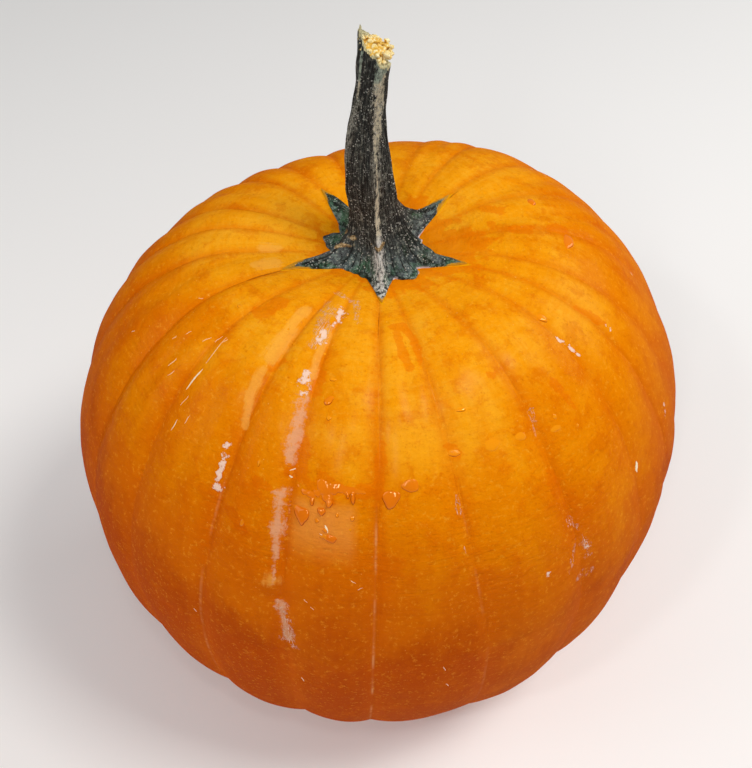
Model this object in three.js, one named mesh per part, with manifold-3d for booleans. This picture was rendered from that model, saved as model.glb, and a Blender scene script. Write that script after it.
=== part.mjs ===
// A ripe ribbed pumpkin with its woody stalk, standing on the flat spot of its underside.
// Millimetres, +Z up. The origin is on the fruit's axis in the plane it rests on.
// Azimuths are in degrees from the front (-Y), positive towards the right (+X).
import * as THREE from 'three';
import { mergeVertices } from 'three/addons/utils/BufferGeometryUtils.js';
import Module from 'manifold-3d';

const wasm = await Module();
wasm.setup();

// Fruit: driving dimensions
const MEAN_RADIUS = 122;
const SHOULDER_RISE = 113;
const BELLY_DROP = 124.4;
const FLAT_SPOT_DROP = 122.4;
const CROWN_HOLLOW_DEPTH = 26;
const CROWN_HOLLOW_RADIUS = 52;
const SHOULDER_FULLNESS = 0.856;
const SHOULDER_ROUNDING = 1.15;
const BELLY_FULLNESS = 0.708;
const BELLY_ROUNDING = 0.861;
const SHOULDER_TILT = 3;
const BELLY_SHIFT_X = -4.9;
const BELLY_SHIFT_Y = -1.6;

// How far the outline swells towards the front (cosine) and the right (sine), by number of waves round
const SWELLS = [
  { waves: 1, front: 6.5, right: 4.1 },
  { waves: 2, front: -4.0, right: -5.3 },
  { waves: 3, front: 1.6, right: 2.3 },
];

// Furrows between the ribs: azimuth at the widest level, sweep in degrees per radian down, depth
const FURROWS = [
  { azimuth: -144.6, sweep: -0.9, depth: 2.4 },
  { azimuth: -131.6, sweep: -1.4, depth: 2.6 },
  { azimuth: -108.8, sweep: 0, depth: 2.3 },
  { azimuth: -99.9, sweep: -3.4, depth: 2.1 },
  { azimuth: -88.2, sweep: -6.6, depth: 2.4 },
  { azimuth: -64.9, sweep: -0.5, depth: 3.0 },
  { azimuth: -49.4, sweep: 0.6, depth: 2.6 },
  { azimuth: -31.2, sweep: -1.8, depth: 3.2 },
  { azimuth: -16.1, sweep: 1.5, depth: 3.0 },
  { azimuth: -0.2, sweep: -0.9, depth: 3.0 },
  { azimuth: 18.0, sweep: 4.4, depth: 2.0 },
  { azimuth: 38.0, sweep: 3.2, depth: 3.0 },
  { azimuth: 56.3, sweep: 0.3, depth: 2.0 },
  { azimuth: 70.4, sweep: 1.8, depth: 2.2 },
  { azimuth: 81.7, sweep: 1.9, depth: 1.8 },
  { azimuth: 98.6, sweep: 1.0, depth: 2.4 },
  { azimuth: 115.6, sweep: -2.2, depth: 2.6 },
  { azimuth: 133.3, sweep: -1.4, depth: 2.4 },
  { azimuth: 150, sweep: 0, depth: 2.6 },
  { azimuth: 166, sweep: 1.2, depth: 2.0 },
  { azimuth: 183, sweep: -1.0, depth: 2.8 },
  { azimuth: 199, sweep: 0.8, depth: 2.4 },
];
const SWEEP_CENTRE = 1.3;
const SWEEP_LIMIT = 0.8;
const FURROW_START_RADIUS = 16;
const FURROW_FULL_RADIUS = 62;
const FURROW_FADE_FROM = 50;
const FURROW_FADE_TO = 95;
const FURROW_FADE_SHARE = 0.42;
const FURROW_END_FROM = 150;
const FURROW_END_TO = 168;
const RIB_ROUNDNESS = 0.6;

// Smoother, slightly fuller part of the shoulder behind the stalk
const CALM_AZIMUTH = 150;
const CALM_SPREAD = 75;
const CALM_SHARE = 0.5;
const CALM_FROM = 65;
const CALM_TO = 100;
const FULLER_AZIMUTH = 152;
const FULLER_SPREAD = 34;
const FULLER_HEIGHT = 1.7;
const FULLER_FROM = 0.35;
const FULLER_FULL = 0.8;
const FULLER_FADE = 0.95;
const FULLER_TO = 1.5;

const RIB_STEPS = [0, 0.1, 0.28, 0.5, 0.72, 0.9];
const POLAR_STEPS = [
  4, 8, 12, 17, 22, 28, 34, 41, 48, 56, 64, 72, 80, 88,
  96, 104, 112, 120, 128, 136, 143, 150, 156, 161, 165,
];

// Stalk: driving dimensions
const STALK_GAP = 0.35;
const STALK_EDGE_THICKNESS = 0.9;
const STALK_SHIFT_Y = 1.5;
const NECK_RADIUS = 8.5;
const NECK_HEIGHT = 27;
const TIP_RADIUS = 5.6;
const TAPER_FROM = 30;
const TAPER_TO = 72;
const STALK_HEIGHT = 86;
const STALK_BOW = 4.2;
const BOW_SPAN = 105;
const STALK_TWIST = 25;
const FLARE_POWER = 1.6;
const SHARPER_FLARES = [
  { azimuth: -65, spread: 35, extra: 0.55 },
  { azimuth: -143, spread: 30, extra: 0.45 },
];
const FLARE_RISE_POWER = 1.8;
const RIDGE_HEIGHT = 0.07;
const MINOR_RIDGE_HEIGHT = 0.035;
const FLARE_STEPS = [0.12, 0.26, 0.4, 0.54, 0.68, 0.83, 1];
const SHAFT_STEPS = [0.14, 0.28, 0.42, 0.56, 0.7, 0.85, 1];

// Points of the stalk's star-shaped foot: azimuth, reach from the axis, half width in degrees
const FOOT_VALLEY_RADIUS = 16.5;
const MAIN_LOBES = [
  { azimuth: -143, reach: 36, spread: 25 },
  { azimuth: -65, reach: 38, spread: 25 },
  { azimuth: 3, reach: 32, spread: 25 },
  { azimuth: 70, reach: 35, spread: 27 },
  { azimuth: 134, reach: 39, spread: 26 },
];
const SMALL_LOBES = [
  { azimuth: -175, reach: 20, spread: 22 },
  { azimuth: -100, reach: 20.5, spread: 20 },
  { azimuth: 38, reach: 22, spread: 18 },
];
const LOBE_POWER = 2.5;
const SMALL_LOBE_POWER = 1.2;
const LOBE_COLUMNS = [-14, -8, -4, 0, 4, 8, 14];
const GAP_COLUMN_SPACING = 11;

// Broken end of the stalk
const BREAK_SLOPE = 1.1;
const BREAK_ROUGHNESS = 0.45;
const SPLINTER_AZIMUTH = -80;
const SPLINTER_HEIGHT = 3.6;
const SPLINTER_SPREAD = 15;
const RIND_SHARE = 0.8;
const SOCKET_SHARE = 0.7;
const SOCKET_DEPTH = 2.2;

// Pith standing out of the broken end
const PITH_SIDES = 14;
const PLUG_SHARE = 0.57;
const PLUG_FLOOR_GAP = 0.7;
const PLUG_TOP = 88;
const PLUG_SLOPE = 0.22;
const PLUG_THICKNESS = 1.3;
const CUSHION_SHARE = 0.8;
const CUSHION_FROM = -0.1;
const CUSHION_TO = 0.5;
const CUSHION_LIFT = 0.9;
const LUMP_COUNT = 19;
const LUMP_RADIUS = 1.4;
const LUMP_SUNK = 0.15;
const LUMP_SPREAD_LEFT = 0.3;
const LUMP_SPREAD_RIGHT = 0.95;

const FULL_TURN = 360;
const GOLDEN_ANGLE = Math.PI * (3 - Math.sqrt(5));
const radians = THREE.MathUtils.degToRad;
const { lerp, smoothstep } = THREE.MathUtils;

// Smallest signed difference between two azimuths in degrees
function turnBetween(from, to) {
  return ((to - from + 1.5 * FULL_TURN) % FULL_TURN) - FULL_TURN / 2;
}

// Outline's radius as a share of the mean radius
function outlineShare(azimuth) {
  const swell = SWELLS.reduce(
    (sum, { waves, front, right }) =>
      sum + front * Math.cos(waves * azimuth) + right * Math.sin(waves * azimuth),
    0,
  );
  return 1 + swell / MEAN_RADIUS;
}

// Share of a bump at an azimuth in radians, from its middle and spread in degrees
function bumpShare(azimuth, middle, spread) {
  const turn = turnBetween(middle, THREE.MathUtils.radToDeg(azimuth));
  return Math.exp(-((turn / spread) ** 2));
}

// Extra height of the fuller part of the shoulder
function fullerHeight(azimuth, polar) {
  const shown = smoothstep(polar, FULLER_FROM, FULLER_FULL) * (1 - smoothstep(polar, FULLER_FADE, FULLER_TO));
  return FULLER_HEIGHT * shown * bumpShare(azimuth, FULLER_AZIMUTH, FULLER_SPREAD);
}

// Share of a furrow's depth that is left where the back of the shoulder is smoother
function calmShare(azimuth, polar) {
  const shown = 1 - smoothstep(THREE.MathUtils.radToDeg(polar), CALM_FROM, CALM_TO);
  return 1 - CALM_SHARE * shown * bumpShare(azimuth, CALM_AZIMUTH, CALM_SPREAD);
}

// Smooth fruit without furrows, at an azimuth and an angle down from the axis, both in radians
function smoothFruit(azimuth, polar) {
  const across = Math.sin(polar);
  const along = Math.abs(Math.cos(polar));
  const upper = polar < Math.PI / 2;
  const share = across ** (upper ? SHOULDER_FULLNESS : BELLY_FULLNESS);
  const radius = share * MEAN_RADIUS * outlineShare(azimuth);
  const hollow = CROWN_HOLLOW_DEPTH * Math.exp(-(((share * MEAN_RADIUS) / CROWN_HOLLOW_RADIUS) ** 2));
  const tilt = SHOULDER_TILT * Math.sin(azimuth) * along * share;
  const rise = upper
    ? SHOULDER_RISE * along ** SHOULDER_ROUNDING - hollow - tilt
    : -BELLY_DROP * along ** BELLY_ROUNDING;
  const shift = upper ? 0 : along ** 2;
  const fuller = fullerHeight(azimuth, polar);
  const reach = radius + fuller * across;
  return new THREE.Vector3(
    reach * Math.sin(azimuth) + BELLY_SHIFT_X * shift,
    -reach * Math.cos(azimuth) + BELLY_SHIFT_Y * shift,
    FLAT_SPOT_DROP + rise + fuller * Math.cos(polar),
  );
}

// Height of the smooth crown above the resting plane, at a distance from the axis
function crownHeight(azimuth, radius) {
  const share = radius / (MEAN_RADIUS * outlineShare(azimuth));
  return smoothFruit(azimuth, Math.asin(share ** (1 / SHOULDER_FULLNESS))).z;
}

// Share of a furrow's full depth at an angle down from the axis
function furrowStrength(polar) {
  const radius = MEAN_RADIUS * Math.sin(polar) ** SHOULDER_FULLNESS;
  const degrees = THREE.MathUtils.radToDeg(polar);
  const opening = smoothstep(radius, FURROW_START_RADIUS, FURROW_FULL_RADIUS);
  const waist = 1 - FURROW_FADE_SHARE * smoothstep(degrees, FURROW_FADE_FROM, FURROW_FADE_TO);
  const closing = 1 - smoothstep(degrees, FURROW_END_FROM, FURROW_END_TO);
  return degrees < 90 ? opening * waist : waist * closing;
}

// Outward direction of the smooth fruit
function outwardDirection(azimuth, polar) {
  const step = 0.001;
  const down = smoothFruit(azimuth, polar + step).sub(smoothFruit(azimuth, polar - step));
  const round = smoothFruit(azimuth + step, polar).sub(smoothFruit(azimuth - step, polar));
  return down.cross(round).normalize();
}

// Azimuth of a furrow in degrees, sweeping aside down the shoulder and settling below the widest level
function furrowAzimuth({ azimuth, sweep }, polar) {
  const past = polar - SWEEP_CENTRE;
  return azimuth + sweep * (past > 0 ? SWEEP_LIMIT * Math.tanh(past / SWEEP_LIMIT) : past);
}

// Ribbed skin between a furrow and the next one, at a share of the way across the rib
function ribbedFruit(index, share, polar) {
  const near = FURROWS[index];
  const far = FURROWS[(index + 1) % FURROWS.length];
  const start = furrowAzimuth(near, polar);
  const width = (furrowAzimuth(far, polar) - start + FULL_TURN) % FULL_TURN;
  const azimuth = radians(start + share * width);
  const bulge = (4 * share * (1 - share)) ** RIB_ROUNDNESS;
  const depth = lerp(near.depth, far.depth, share) * furrowStrength(polar) * calmShare(azimuth, polar);
  return smoothFruit(azimuth, polar).addScaledVector(outwardDirection(azimuth, polar), -depth * (1 - bulge));
}

// Closed surface through rings of points, listed from the top down and going round to the right
function surfaceThroughRings(top, rings, bottom) {
  const columns = rings[0].length;
  const points = [top, ...rings.flat(), bottom];
  const at = (ring, column) => 1 + ring * columns + (column % columns);
  const last = points.length - 1;
  const indices = [];
  for (let column = 0; column < columns; column += 1) {
    indices.push(0, at(0, column), at(0, column + 1));
    for (let ring = 0; ring < rings.length - 1; ring += 1) {
      indices.push(at(ring, column), at(ring + 1, column), at(ring + 1, column + 1));
      indices.push(at(ring, column), at(ring + 1, column + 1), at(ring, column + 1));
    }
    indices.push(at(rings.length - 1, column), last, at(rings.length - 1, column + 1));
  }
  const geometry = new THREE.BufferGeometry();
  geometry.setAttribute('position', new THREE.Float32BufferAttribute(points.flatMap((p) => p.toArray()), 3));
  geometry.setIndex(indices);
  geometry.computeVertexNormals();
  return geometry;
}

// Whole fruit, closed by a flat disc where it rests
function fruitGeometry() {
  const ringAt = (polar) =>
    FURROWS.flatMap((_, index) => RIB_STEPS.map((share) => ribbedFruit(index, share, polar)));
  const rings = POLAR_STEPS.map((degrees) => ringAt(radians(degrees)));
  const restCosine = (FLAT_SPOT_DROP / BELLY_DROP) ** (1 / BELLY_ROUNDING);
  const restRing = ringAt(Math.PI - Math.acos(restCosine)).map((p) => p.setZ(0));
  return surfaceThroughRings(smoothFruit(0, 0), [...rings, restRing], new THREE.Vector3(0, 0, 0));
}

// Reach of the stalk's foot at an azimuth in degrees
function footRadius(azimuth) {
  const pointed = (lobes, power) =>
    lobes.map(({ azimuth: centre, reach, spread }) => {
      const share = Math.max(0, 1 - Math.abs(turnBetween(centre, azimuth)) / spread);
      return (reach - FOOT_VALLEY_RADIUS) * share ** power;
    });
  const points = [...pointed(MAIN_LOBES, LOBE_POWER), ...pointed(SMALL_LOBES, SMALL_LOBE_POWER)];
  return FOOT_VALLEY_RADIUS + Math.max(...points);
}

// Angle in degrees from a main lobe to the next one round to the right
function lobeWidth(index) {
  const next = MAIN_LOBES[(index + 1) % MAIN_LOBES.length];
  return (next.azimuth - MAIN_LOBES[index].azimuth + FULL_TURN) % FULL_TURN;
}

// Wave along the ridges that run up from the main lobes: 1 on a ridge, -1 midway between two
function ridgeWave(azimuth, wavesPerLobe) {
  const past = (lobe) => (azimuth - lobe.azimuth + 2 * FULL_TURN) % FULL_TURN;
  const index = MAIN_LOBES.findIndex((lobe, place) => past(lobe) < lobeWidth(place));
  const share = past(MAIN_LOBES[index]) / lobeWidth(index);
  return Math.cos(2 * Math.PI * wavesPerLobe * share);
}

// Azimuths of the stalk's columns, close together on the lobes
function stalkColumns() {
  const columns = [];
  const margin = LOBE_COLUMNS[LOBE_COLUMNS.length - 1];
  MAIN_LOBES.forEach((lobe, index) => {
    LOBE_COLUMNS.forEach((offset) => columns.push(lobe.azimuth + offset));
    const width = lobeWidth(index) - 2 * margin;
    const count = Math.round(width / GAP_COLUMN_SPACING);
    for (let step = 1; step < count; step += 1) {
      columns.push(lobe.azimuth + margin + (width * step) / count);
    }
  });
  return columns;
}

// Shaft's radius at a height above the crown
function shaftRadius(azimuth, height) {
  const radius = lerp(NECK_RADIUS, TIP_RADIUS, smoothstep(height, TAPER_FROM, TAPER_TO));
  const ridges = RIDGE_HEIGHT * ridgeWave(azimuth, 1) + MINOR_RIDGE_HEIGHT * ridgeWave(azimuth, 2);
  return radius * (1 + ridges);
}

// Point at a distance from the bowed middle line of the stalk
function besideMiddleLine(azimuth, radius, height) {
  const twist = STALK_TWIST * smoothstep(height, NECK_HEIGHT / 2, STALK_HEIGHT);
  const bow = -STALK_BOW * Math.sin((Math.PI * height) / BOW_SPAN) ** 2;
  const angle = radians(azimuth + twist);
  return new THREE.Vector3(
    bow + radius * Math.sin(angle),
    STALK_SHIFT_Y * smoothstep(height, 0, NECK_HEIGHT) - radius * Math.cos(angle),
    smoothFruit(0, 0).z + height,
  );
}

// Height of the broken end above the crown, sloping down to the right, with one splinter standing
function breakHeight(azimuth, radiusShare) {
  const angle = radians(azimuth + STALK_TWIST);
  const slope = -BREAK_SLOPE * TIP_RADIUS * radiusShare * Math.sin(angle);
  const rough = BREAK_ROUGHNESS * (Math.sin(7 * angle + 1) + 0.6 * Math.sin(13 * angle)) * radiusShare;
  const away = turnBetween(SPLINTER_AZIMUTH, azimuth + STALK_TWIST) / SPLINTER_SPREAD;
  const splinter = radiusShare === 1 ? SPLINTER_HEIGHT * Math.exp(-(away ** 2)) : 0;
  return STALK_HEIGHT + slope + rough + splinter;
}

// Foot's upper face, from its edge at 0 to the neck at 1
function flarePoint(azimuth, share) {
  const angle = radians(azimuth);
  const neck = shaftRadius(azimuth, NECK_HEIGHT);
  const power = SHARPER_FLARES.reduce(
    (sum, { azimuth: middle, spread, extra }) => sum + extra * bumpShare(angle, middle, spread),
    FLARE_POWER,
  );
  const radius = lerp(neck, footRadius(azimuth), (1 - share) ** power);
  const height = lerp(STALK_GAP + STALK_EDGE_THICKNESS, NECK_HEIGHT, share ** FLARE_RISE_POWER);
  const rooted = (crownHeight(angle, radius) - smoothFruit(0, 0).z) * (1 - share);
  return besideMiddleLine(azimuth, radius, height + rooted);
}

// Foot's underside, following the smooth crown a small gap above it
function undersidePoint(azimuth, share) {
  const angle = radians(azimuth);
  const radius = share * footRadius(azimuth);
  const height = crownHeight(angle, radius) + STALK_GAP - smoothFruit(0, 0).z;
  return besideMiddleLine(azimuth, radius, Math.max(0, height)).setZ(crownHeight(angle, radius) + STALK_GAP);
}

// Stalk: shaft, flared foot and the socket of its broken end
function stalkGeometry() {
  const columns = stalkColumns();
  const ring = (pointAt) => columns.map(pointAt);
  const endRing = (share, drop) =>
    ring((azimuth) => {
      const height = breakHeight(azimuth, share) - drop;
      return besideMiddleLine(azimuth, shaftRadius(azimuth, height) * share, height);
    });
  const shaftRing = (share) =>
    ring((azimuth) => {
      const height = lerp(NECK_HEIGHT, breakHeight(azimuth, 1), share);
      return besideMiddleLine(azimuth, shaftRadius(azimuth, height), height);
    });
  const rings = [
    endRing(SOCKET_SHARE, SOCKET_DEPTH),
    endRing(RIND_SHARE, 0),
    ...SHAFT_STEPS.map((share) => shaftRing(share)).reverse(),
    ...FLARE_STEPS.map((share) => ring((azimuth) => flarePoint(azimuth, share))).reverse(),
    ring((azimuth) => flarePoint(azimuth, 0)),
    ring((azimuth) => undersidePoint(azimuth, 1)),
    ring((azimuth) => undersidePoint(azimuth, 0.5)),
  ];
  const socketFloor = besideMiddleLine(0, 0, STALK_HEIGHT - SOCKET_DEPTH);
  const rootPoint = smoothFruit(0, 0).add(new THREE.Vector3(0, 0, STALK_GAP));
  return surfaceThroughRings(socketFloor, rings, rootPoint);
}

// Solid from a closed geometry
function solidFrom(geometry) {
  const bare = geometry.clone();
  bare.deleteAttribute('normal');
  bare.deleteAttribute('uv');
  const merged = mergeVertices(bare);
  return new wasm.Manifold(new wasm.Mesh({
    numProp: 3,
    vertProperties: new Float32Array(merged.attributes.position.array),
    triVerts: new Uint32Array(merged.index.array),
  }));
}

// Geometry from a solid
function geometryFrom(solid) {
  const mesh = solid.getMesh();
  const geometry = new THREE.BufferGeometry();
  geometry.setAttribute('position', new THREE.Float32BufferAttribute(mesh.vertProperties, 3));
  geometry.setIndex(Array.from(mesh.triVerts));
  geometry.computeVertexNormals();
  return geometry;
}

// Height of the plug's torn top, nearly level while the rim slopes
function plugHeight(radiusShare, rightward) {
  return PLUG_TOP - PLUG_SLOPE * TIP_RADIUS * radiusShare * rightward;
}

// Plug of pith in the socket, widening to a cushion over the low right side of the rim
function pithCore() {
  const azimuths = Array.from({ length: PITH_SIDES }, (_, side) => (FULL_TURN * side) / PITH_SIDES);
  const ring = (shareAt, heightAt) =>
    azimuths.map((azimuth) => {
      const rightward = Math.sin(radians(azimuth + STALK_TWIST));
      const share = shareAt(rightward);
      const rim = breakHeight(azimuth, share);
      const floor = rim + PLUG_FLOOR_GAP - SOCKET_DEPTH;
      const top = Math.max(plugHeight(share, rightward), floor + PLUG_THICKNESS);
      return besideMiddleLine(azimuth, TIP_RADIUS * share, heightAt(rim, floor, top));
    });
  const narrow = () => PLUG_SHARE;
  const wide = (rightward) =>
    lerp(PLUG_SHARE, CUSHION_SHARE, smoothstep(rightward, CUSHION_FROM, CUSHION_TO));
  const rings = [
    ring(() => 0.4, (rim, floor, top) => top),
    ring(wide, (rim, floor, top) => top - 0.3),
    ring(wide, (rim, floor, top) => Math.min(rim + CUSHION_LIFT, top - 0.5)),
    ring(narrow, (rim, floor, top) => Math.min(rim + 0.2, top - 0.7)),
    ring(narrow, (rim, floor) => floor),
  ];
  const top = besideMiddleLine(0, 0, PLUG_TOP);
  const bottom = besideMiddleLine(0, 0, STALK_HEIGHT + PLUG_FLOOR_GAP - SOCKET_DEPTH);
  return solidFrom(surfaceThroughRings(top, rings, bottom));
}

// Pith: a torn plug with crumbly lumps, reaching over the rim on the low right side of the break
function pithGeometry() {
  let solid = pithCore();
  for (let index = 0; index < LUMP_COUNT; index += 1) {
    const share = Math.sqrt((index + 0.5) / LUMP_COUNT);
    const azimuth = THREE.MathUtils.radToDeg(index * GOLDEN_ANGLE);
    const size = LUMP_RADIUS * (0.8 + 0.2 * Math.sin(5 * index));
    const rightward = Math.sin(radians(azimuth + STALK_TWIST));
    const towards = smoothstep(rightward, CUSHION_FROM, CUSHION_TO);
    const reach = share * TIP_RADIUS * lerp(LUMP_SPREAD_LEFT, LUMP_SPREAD_RIGHT, towards);
    const floor = breakHeight(azimuth, reach / TIP_RADIUS) + PLUG_FLOOR_GAP - SOCKET_DEPTH;
    const level = Math.max(plugHeight(reach / TIP_RADIUS, rightward), floor + PLUG_THICKNESS) - LUMP_SUNK;
    const centre = besideMiddleLine(azimuth, reach, level);
    const lump = new THREE.IcosahedronGeometry(size, 1);
    lump.rotateX(index);
    lump.rotateZ(2 * index);
    lump.translate(centre.x, centre.y, centre.z);
    solid = solid.add(solidFrom(lump));
  }
  return geometryFrom(solid);
}

const skin = new THREE.MeshStandardMaterial({ name: 'skin', color: 0xdb7c0e, roughness: 0.35, metalness: 0 });
const bark = new THREE.MeshStandardMaterial({ name: 'bark', color: 0x2b302a, roughness: 0.7, metalness: 0 });
const pith = new THREE.MeshStandardMaterial({ name: 'pith', color: 0xe8c976, roughness: 0.85, metalness: 0 });

// One named mesh for each piece
function piece(name, geometry, material) {
  const mesh = new THREE.Mesh(geometry, material);
  mesh.name = name;
  return mesh;
}

const pumpkin = new THREE.Group();
pumpkin.add(piece('fruit', fruitGeometry(), skin));
pumpkin.add(piece('stem', stalkGeometry(), bark));
pumpkin.add(piece('stem_pith', pithGeometry(), pith));

export default pumpkin;
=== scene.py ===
# A ripe ribbed pumpkin, wet in places, on a pale floor.
# Metres, +Z up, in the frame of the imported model. Azimuths run from the front (-Y)
# towards the right (+X); polar angles run down from the axis. Both are in degrees in the lists.
import math

import bmesh
import bpy
import numpy as np
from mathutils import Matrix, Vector


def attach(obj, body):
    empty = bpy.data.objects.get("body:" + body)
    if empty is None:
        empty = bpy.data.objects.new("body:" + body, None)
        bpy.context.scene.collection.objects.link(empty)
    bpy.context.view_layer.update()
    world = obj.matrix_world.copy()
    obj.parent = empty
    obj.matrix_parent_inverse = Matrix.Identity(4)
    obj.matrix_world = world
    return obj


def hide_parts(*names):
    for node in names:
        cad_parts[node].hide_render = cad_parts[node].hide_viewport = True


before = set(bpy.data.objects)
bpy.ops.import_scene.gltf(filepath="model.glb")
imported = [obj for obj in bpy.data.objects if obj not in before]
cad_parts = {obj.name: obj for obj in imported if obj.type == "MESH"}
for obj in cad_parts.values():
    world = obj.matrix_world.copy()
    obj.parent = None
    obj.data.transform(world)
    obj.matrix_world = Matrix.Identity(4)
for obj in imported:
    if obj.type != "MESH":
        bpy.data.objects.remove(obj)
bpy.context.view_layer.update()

MM = 0.001

# Fruit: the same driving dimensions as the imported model
MEAN_RADIUS = 0.122
SHOULDER_RISE = 0.113
BELLY_DROP = 0.1244
FLAT_SPOT_DROP = 0.1224
CROWN_HOLLOW_DEPTH = 0.026
CROWN_HOLLOW_RADIUS = 0.052
SHOULDER_FULLNESS = 0.856
SHOULDER_ROUNDING = 1.15
BELLY_FULLNESS = 0.708
BELLY_ROUNDING = 0.861
SHOULDER_TILT = 0.003
BELLY_SHIFT = (-0.0049, -0.0016)
# Swells of the outline: waves around it, height at the front and at the right
SWELLS = [(1, 0.0065, 0.0041), (2, -0.0040, -0.0053), (3, 0.0016, 0.0023)]

# Furrows: azimuth at the widest level, sweep in degrees per radian down, depth in millimetres
FURROWS = [
    (-144.6, -0.9, 2.4), (-131.6, -1.4, 2.6), (-108.8, 0, 2.3), (-99.9, -3.4, 2.1), (-88.2, -6.6, 2.4),
    (-64.9, -0.5, 3), (-49.4, 0.6, 2.6), (-31.2, -1.8, 3.2), (-16.1, 1.5, 3), (-0.2, -0.9, 3),
    (18, 4.4, 2), (38, 3.2, 3), (56.3, 0.3, 2), (70.4, 1.8, 2.2), (81.7, 1.9, 1.8), (98.6, 1, 2.4),
    (115.6, -2.2, 2.6), (133.3, -1.4, 2.4), (150, 0, 2.6), (166, 1.2, 2), (183, -1, 2.8),
    (199, 0.8, 2.4),
]
SWEEP_CENTRE = 1.3
SWEEP_LIMIT = 0.8
FURROW_OPENING = (0.016, 0.062)
SHOULDER_SOFTNESS = (0.38, 22, 60)
FURROW_WAIST = (50, 95)
FURROW_FADE_SHARE = 0.42
FURROW_END = (150, 168)
RIB_ROUNDNESS = 0.72
VALLEY_WIDTH = 0.34
# Shallower furrows behind the right shoulder: azimuth, spread, share taken off
BACK_CALM = (112, 90, 0.58)
BACK_CALM_END = (65, 100)
# Fuller shoulder at the back: azimuth, spread, height
BACK_SHOULDER = (152, 34, 0.0017)
# Polar angles in radians where it rises and fades
BACK_SHOULDER_LEVELS = (0.35, 0.8, 0.95, 1.5)

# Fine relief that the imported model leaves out
CREASE_DEPTH = 0.00022
CREASE_WIDTH = 0.0008
# Where a crease runs deeper and shallower: wavelength and seed
CREASE_BREAKS = (0.03, 3)
UNDULATION = 0.0007
# Waves of the undulation: wavelength, share of its height, seed
UNDULATION_WAVES = [(0.045, 0.5, 5), (0.012, 0.12, 6)]
# Distances from the axis over which it begins
UNDULATION_START = (0.01, 0.05)
FOLD_WANDER = 0.0012
FOLD_FADE = (12, 16)
# Shallow folds: azimuth, polar angle from and to, depth and half width in millimetres
SHALLOW_FURROWS = [
    (9, 14, 44, 0.9, 3), (-40.5, 20, 75, 1, 3.4), (-57, 12, 62, 0.9, 3.2), (-24, 36, 84, 0.6, 3),
    (28, 30, 80, 0.5, 3.5), (47.5, 20, 60, 0.5, 3), (106, 12, 60, 0.8, 3), (124, 12, 60, 0.8, 3),
    (-120, 12, 70, 0.9, 3.4), (158, 12, 70, 0.7, 3), (-76, 12, 70, 0.8, 3.2),
]
# Knob on the front rib: azimuth, polar angle, height and radius in metres
KNOB = (-18, 69, 0.0013, 0.0045)
SCAR_RADIUS = 0.010
SCAR_DEPTH = 0.0012
SCAR_RIM_HEIGHT = 0.0007
SCAR_RIM_WIDTH = 0.0018
PUCKER_HEIGHT = 0.00025
PUCKER_REACH = 0.006
PUCKERS = 9
SCAR_RINGS = (0.034, 0.028, 0.022, 0.017, 0.013, 0.010, 0.0075, 0.005, 0.0025)
FLAT_SPOT_RADIUS = 0.038
RIB_COLUMNS = 26
SKIN_ROWS = 212
COLUMN_CROWDING = 0.72
ROW_CROWDING = 1.12

# Stalk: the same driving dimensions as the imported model
STALK_SHIFT_Y = 0.0015
NECK_RADIUS = 0.0085
NECK_HEIGHT = 0.027
TIP_RADIUS = 0.0056
TAPER = (0.030, 0.072)
STALK_HEIGHT = 0.086
STALK_BOW = 0.0042
BOW_SPAN = 0.105
STALK_TWIST = 25
FLARE_POWER = 1.6
# Lobes that rise later towards the neck: azimuth, spread, extra power
FLARE_SHARPER = [(-65, 35, 0.55), (-143, 30, 0.45)]
FLARE_RISE_POWER = 1.8
RIDGE_HEIGHT = 0.07
MINOR_RIDGE_HEIGHT = 0.035
FOOT_VALLEY_RADIUS = 0.0165
# Lobes of the foot: azimuth, reach of the tip, spread
MAIN_LOBES = [(-143, 0.036, 25), (-65, 0.038, 25), (3, 0.032, 25), (70, 0.035, 27), (134, 0.039, 26)]
SMALL_LOBES = [(-175, 0.020, 22), (-100, 0.0205, 20), (38, 0.022, 18)]
LOBE_STARTS = np.array([lobe[0] for lobe in MAIN_LOBES], float)
LOBE_GAPS = (np.roll(LOBE_STARTS, -1) - LOBE_STARTS) % 360
LOBE_POWER = 2.5
SMALL_LOBE_POWER = 1.2
BREAK_SLOPE = 1.1
BREAK_ROUGHNESS = 0.00045
# Splinter on the broken rim: azimuth, height, spread
SPLINTER = (-80, 0.0033, 15)
RIND_SHARE = 0.8
SOCKET_SHARE = 0.7
SOCKET_DEPTH = 0.0022
RIM_MIDDLE_SHARE = 0.9

# Camera of the photograph, in a frame of 752 by 768 pixels
PHOTO_HEIGHT = 768
FOCAL_PIXELS = 1169
SENSOR = 36
CAMERA_ELEVATION = 48
CAMERA_DISTANCE = 0.5047
CAMERA_SIDE = -0.0006
CAMERA_LIFT = 0.0087


def smoothstep(value, low, high):
    share = np.clip((value - low) / (high - low), 0, 1)
    return share * share * (3 - 2 * share)


# Rises from 0 to 1, stays there and falls again
def window(value, low, full, fading, gone):
    return smoothstep(value, low, full) * (1 - smoothstep(value, fading, gone))


# Turn between two angles, in radians and in degrees
def turn_between(angle, other):
    return (angle - other + np.pi) % (2 * np.pi) - np.pi


def degrees_between(angle, other):
    return (angle - other + 540) % 360 - 180


# Degrees from a centre in degrees to an azimuth in radians
def degrees_past(azimuth, centre):
    return np.degrees(turn_between(azimuth, math.radians(centre)))


# Shares from 0 up to 1 that crowd towards both ends
def crowded_shares(count, crowding):
    steps = np.arange(count) / count
    return steps - crowding * np.sin(2 * np.pi * steps) / (2 * np.pi)


# A bump of height 1 that fades out on both sides
def bell(distance, spread):
    return np.exp(-((distance / spread) ** 2))


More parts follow.
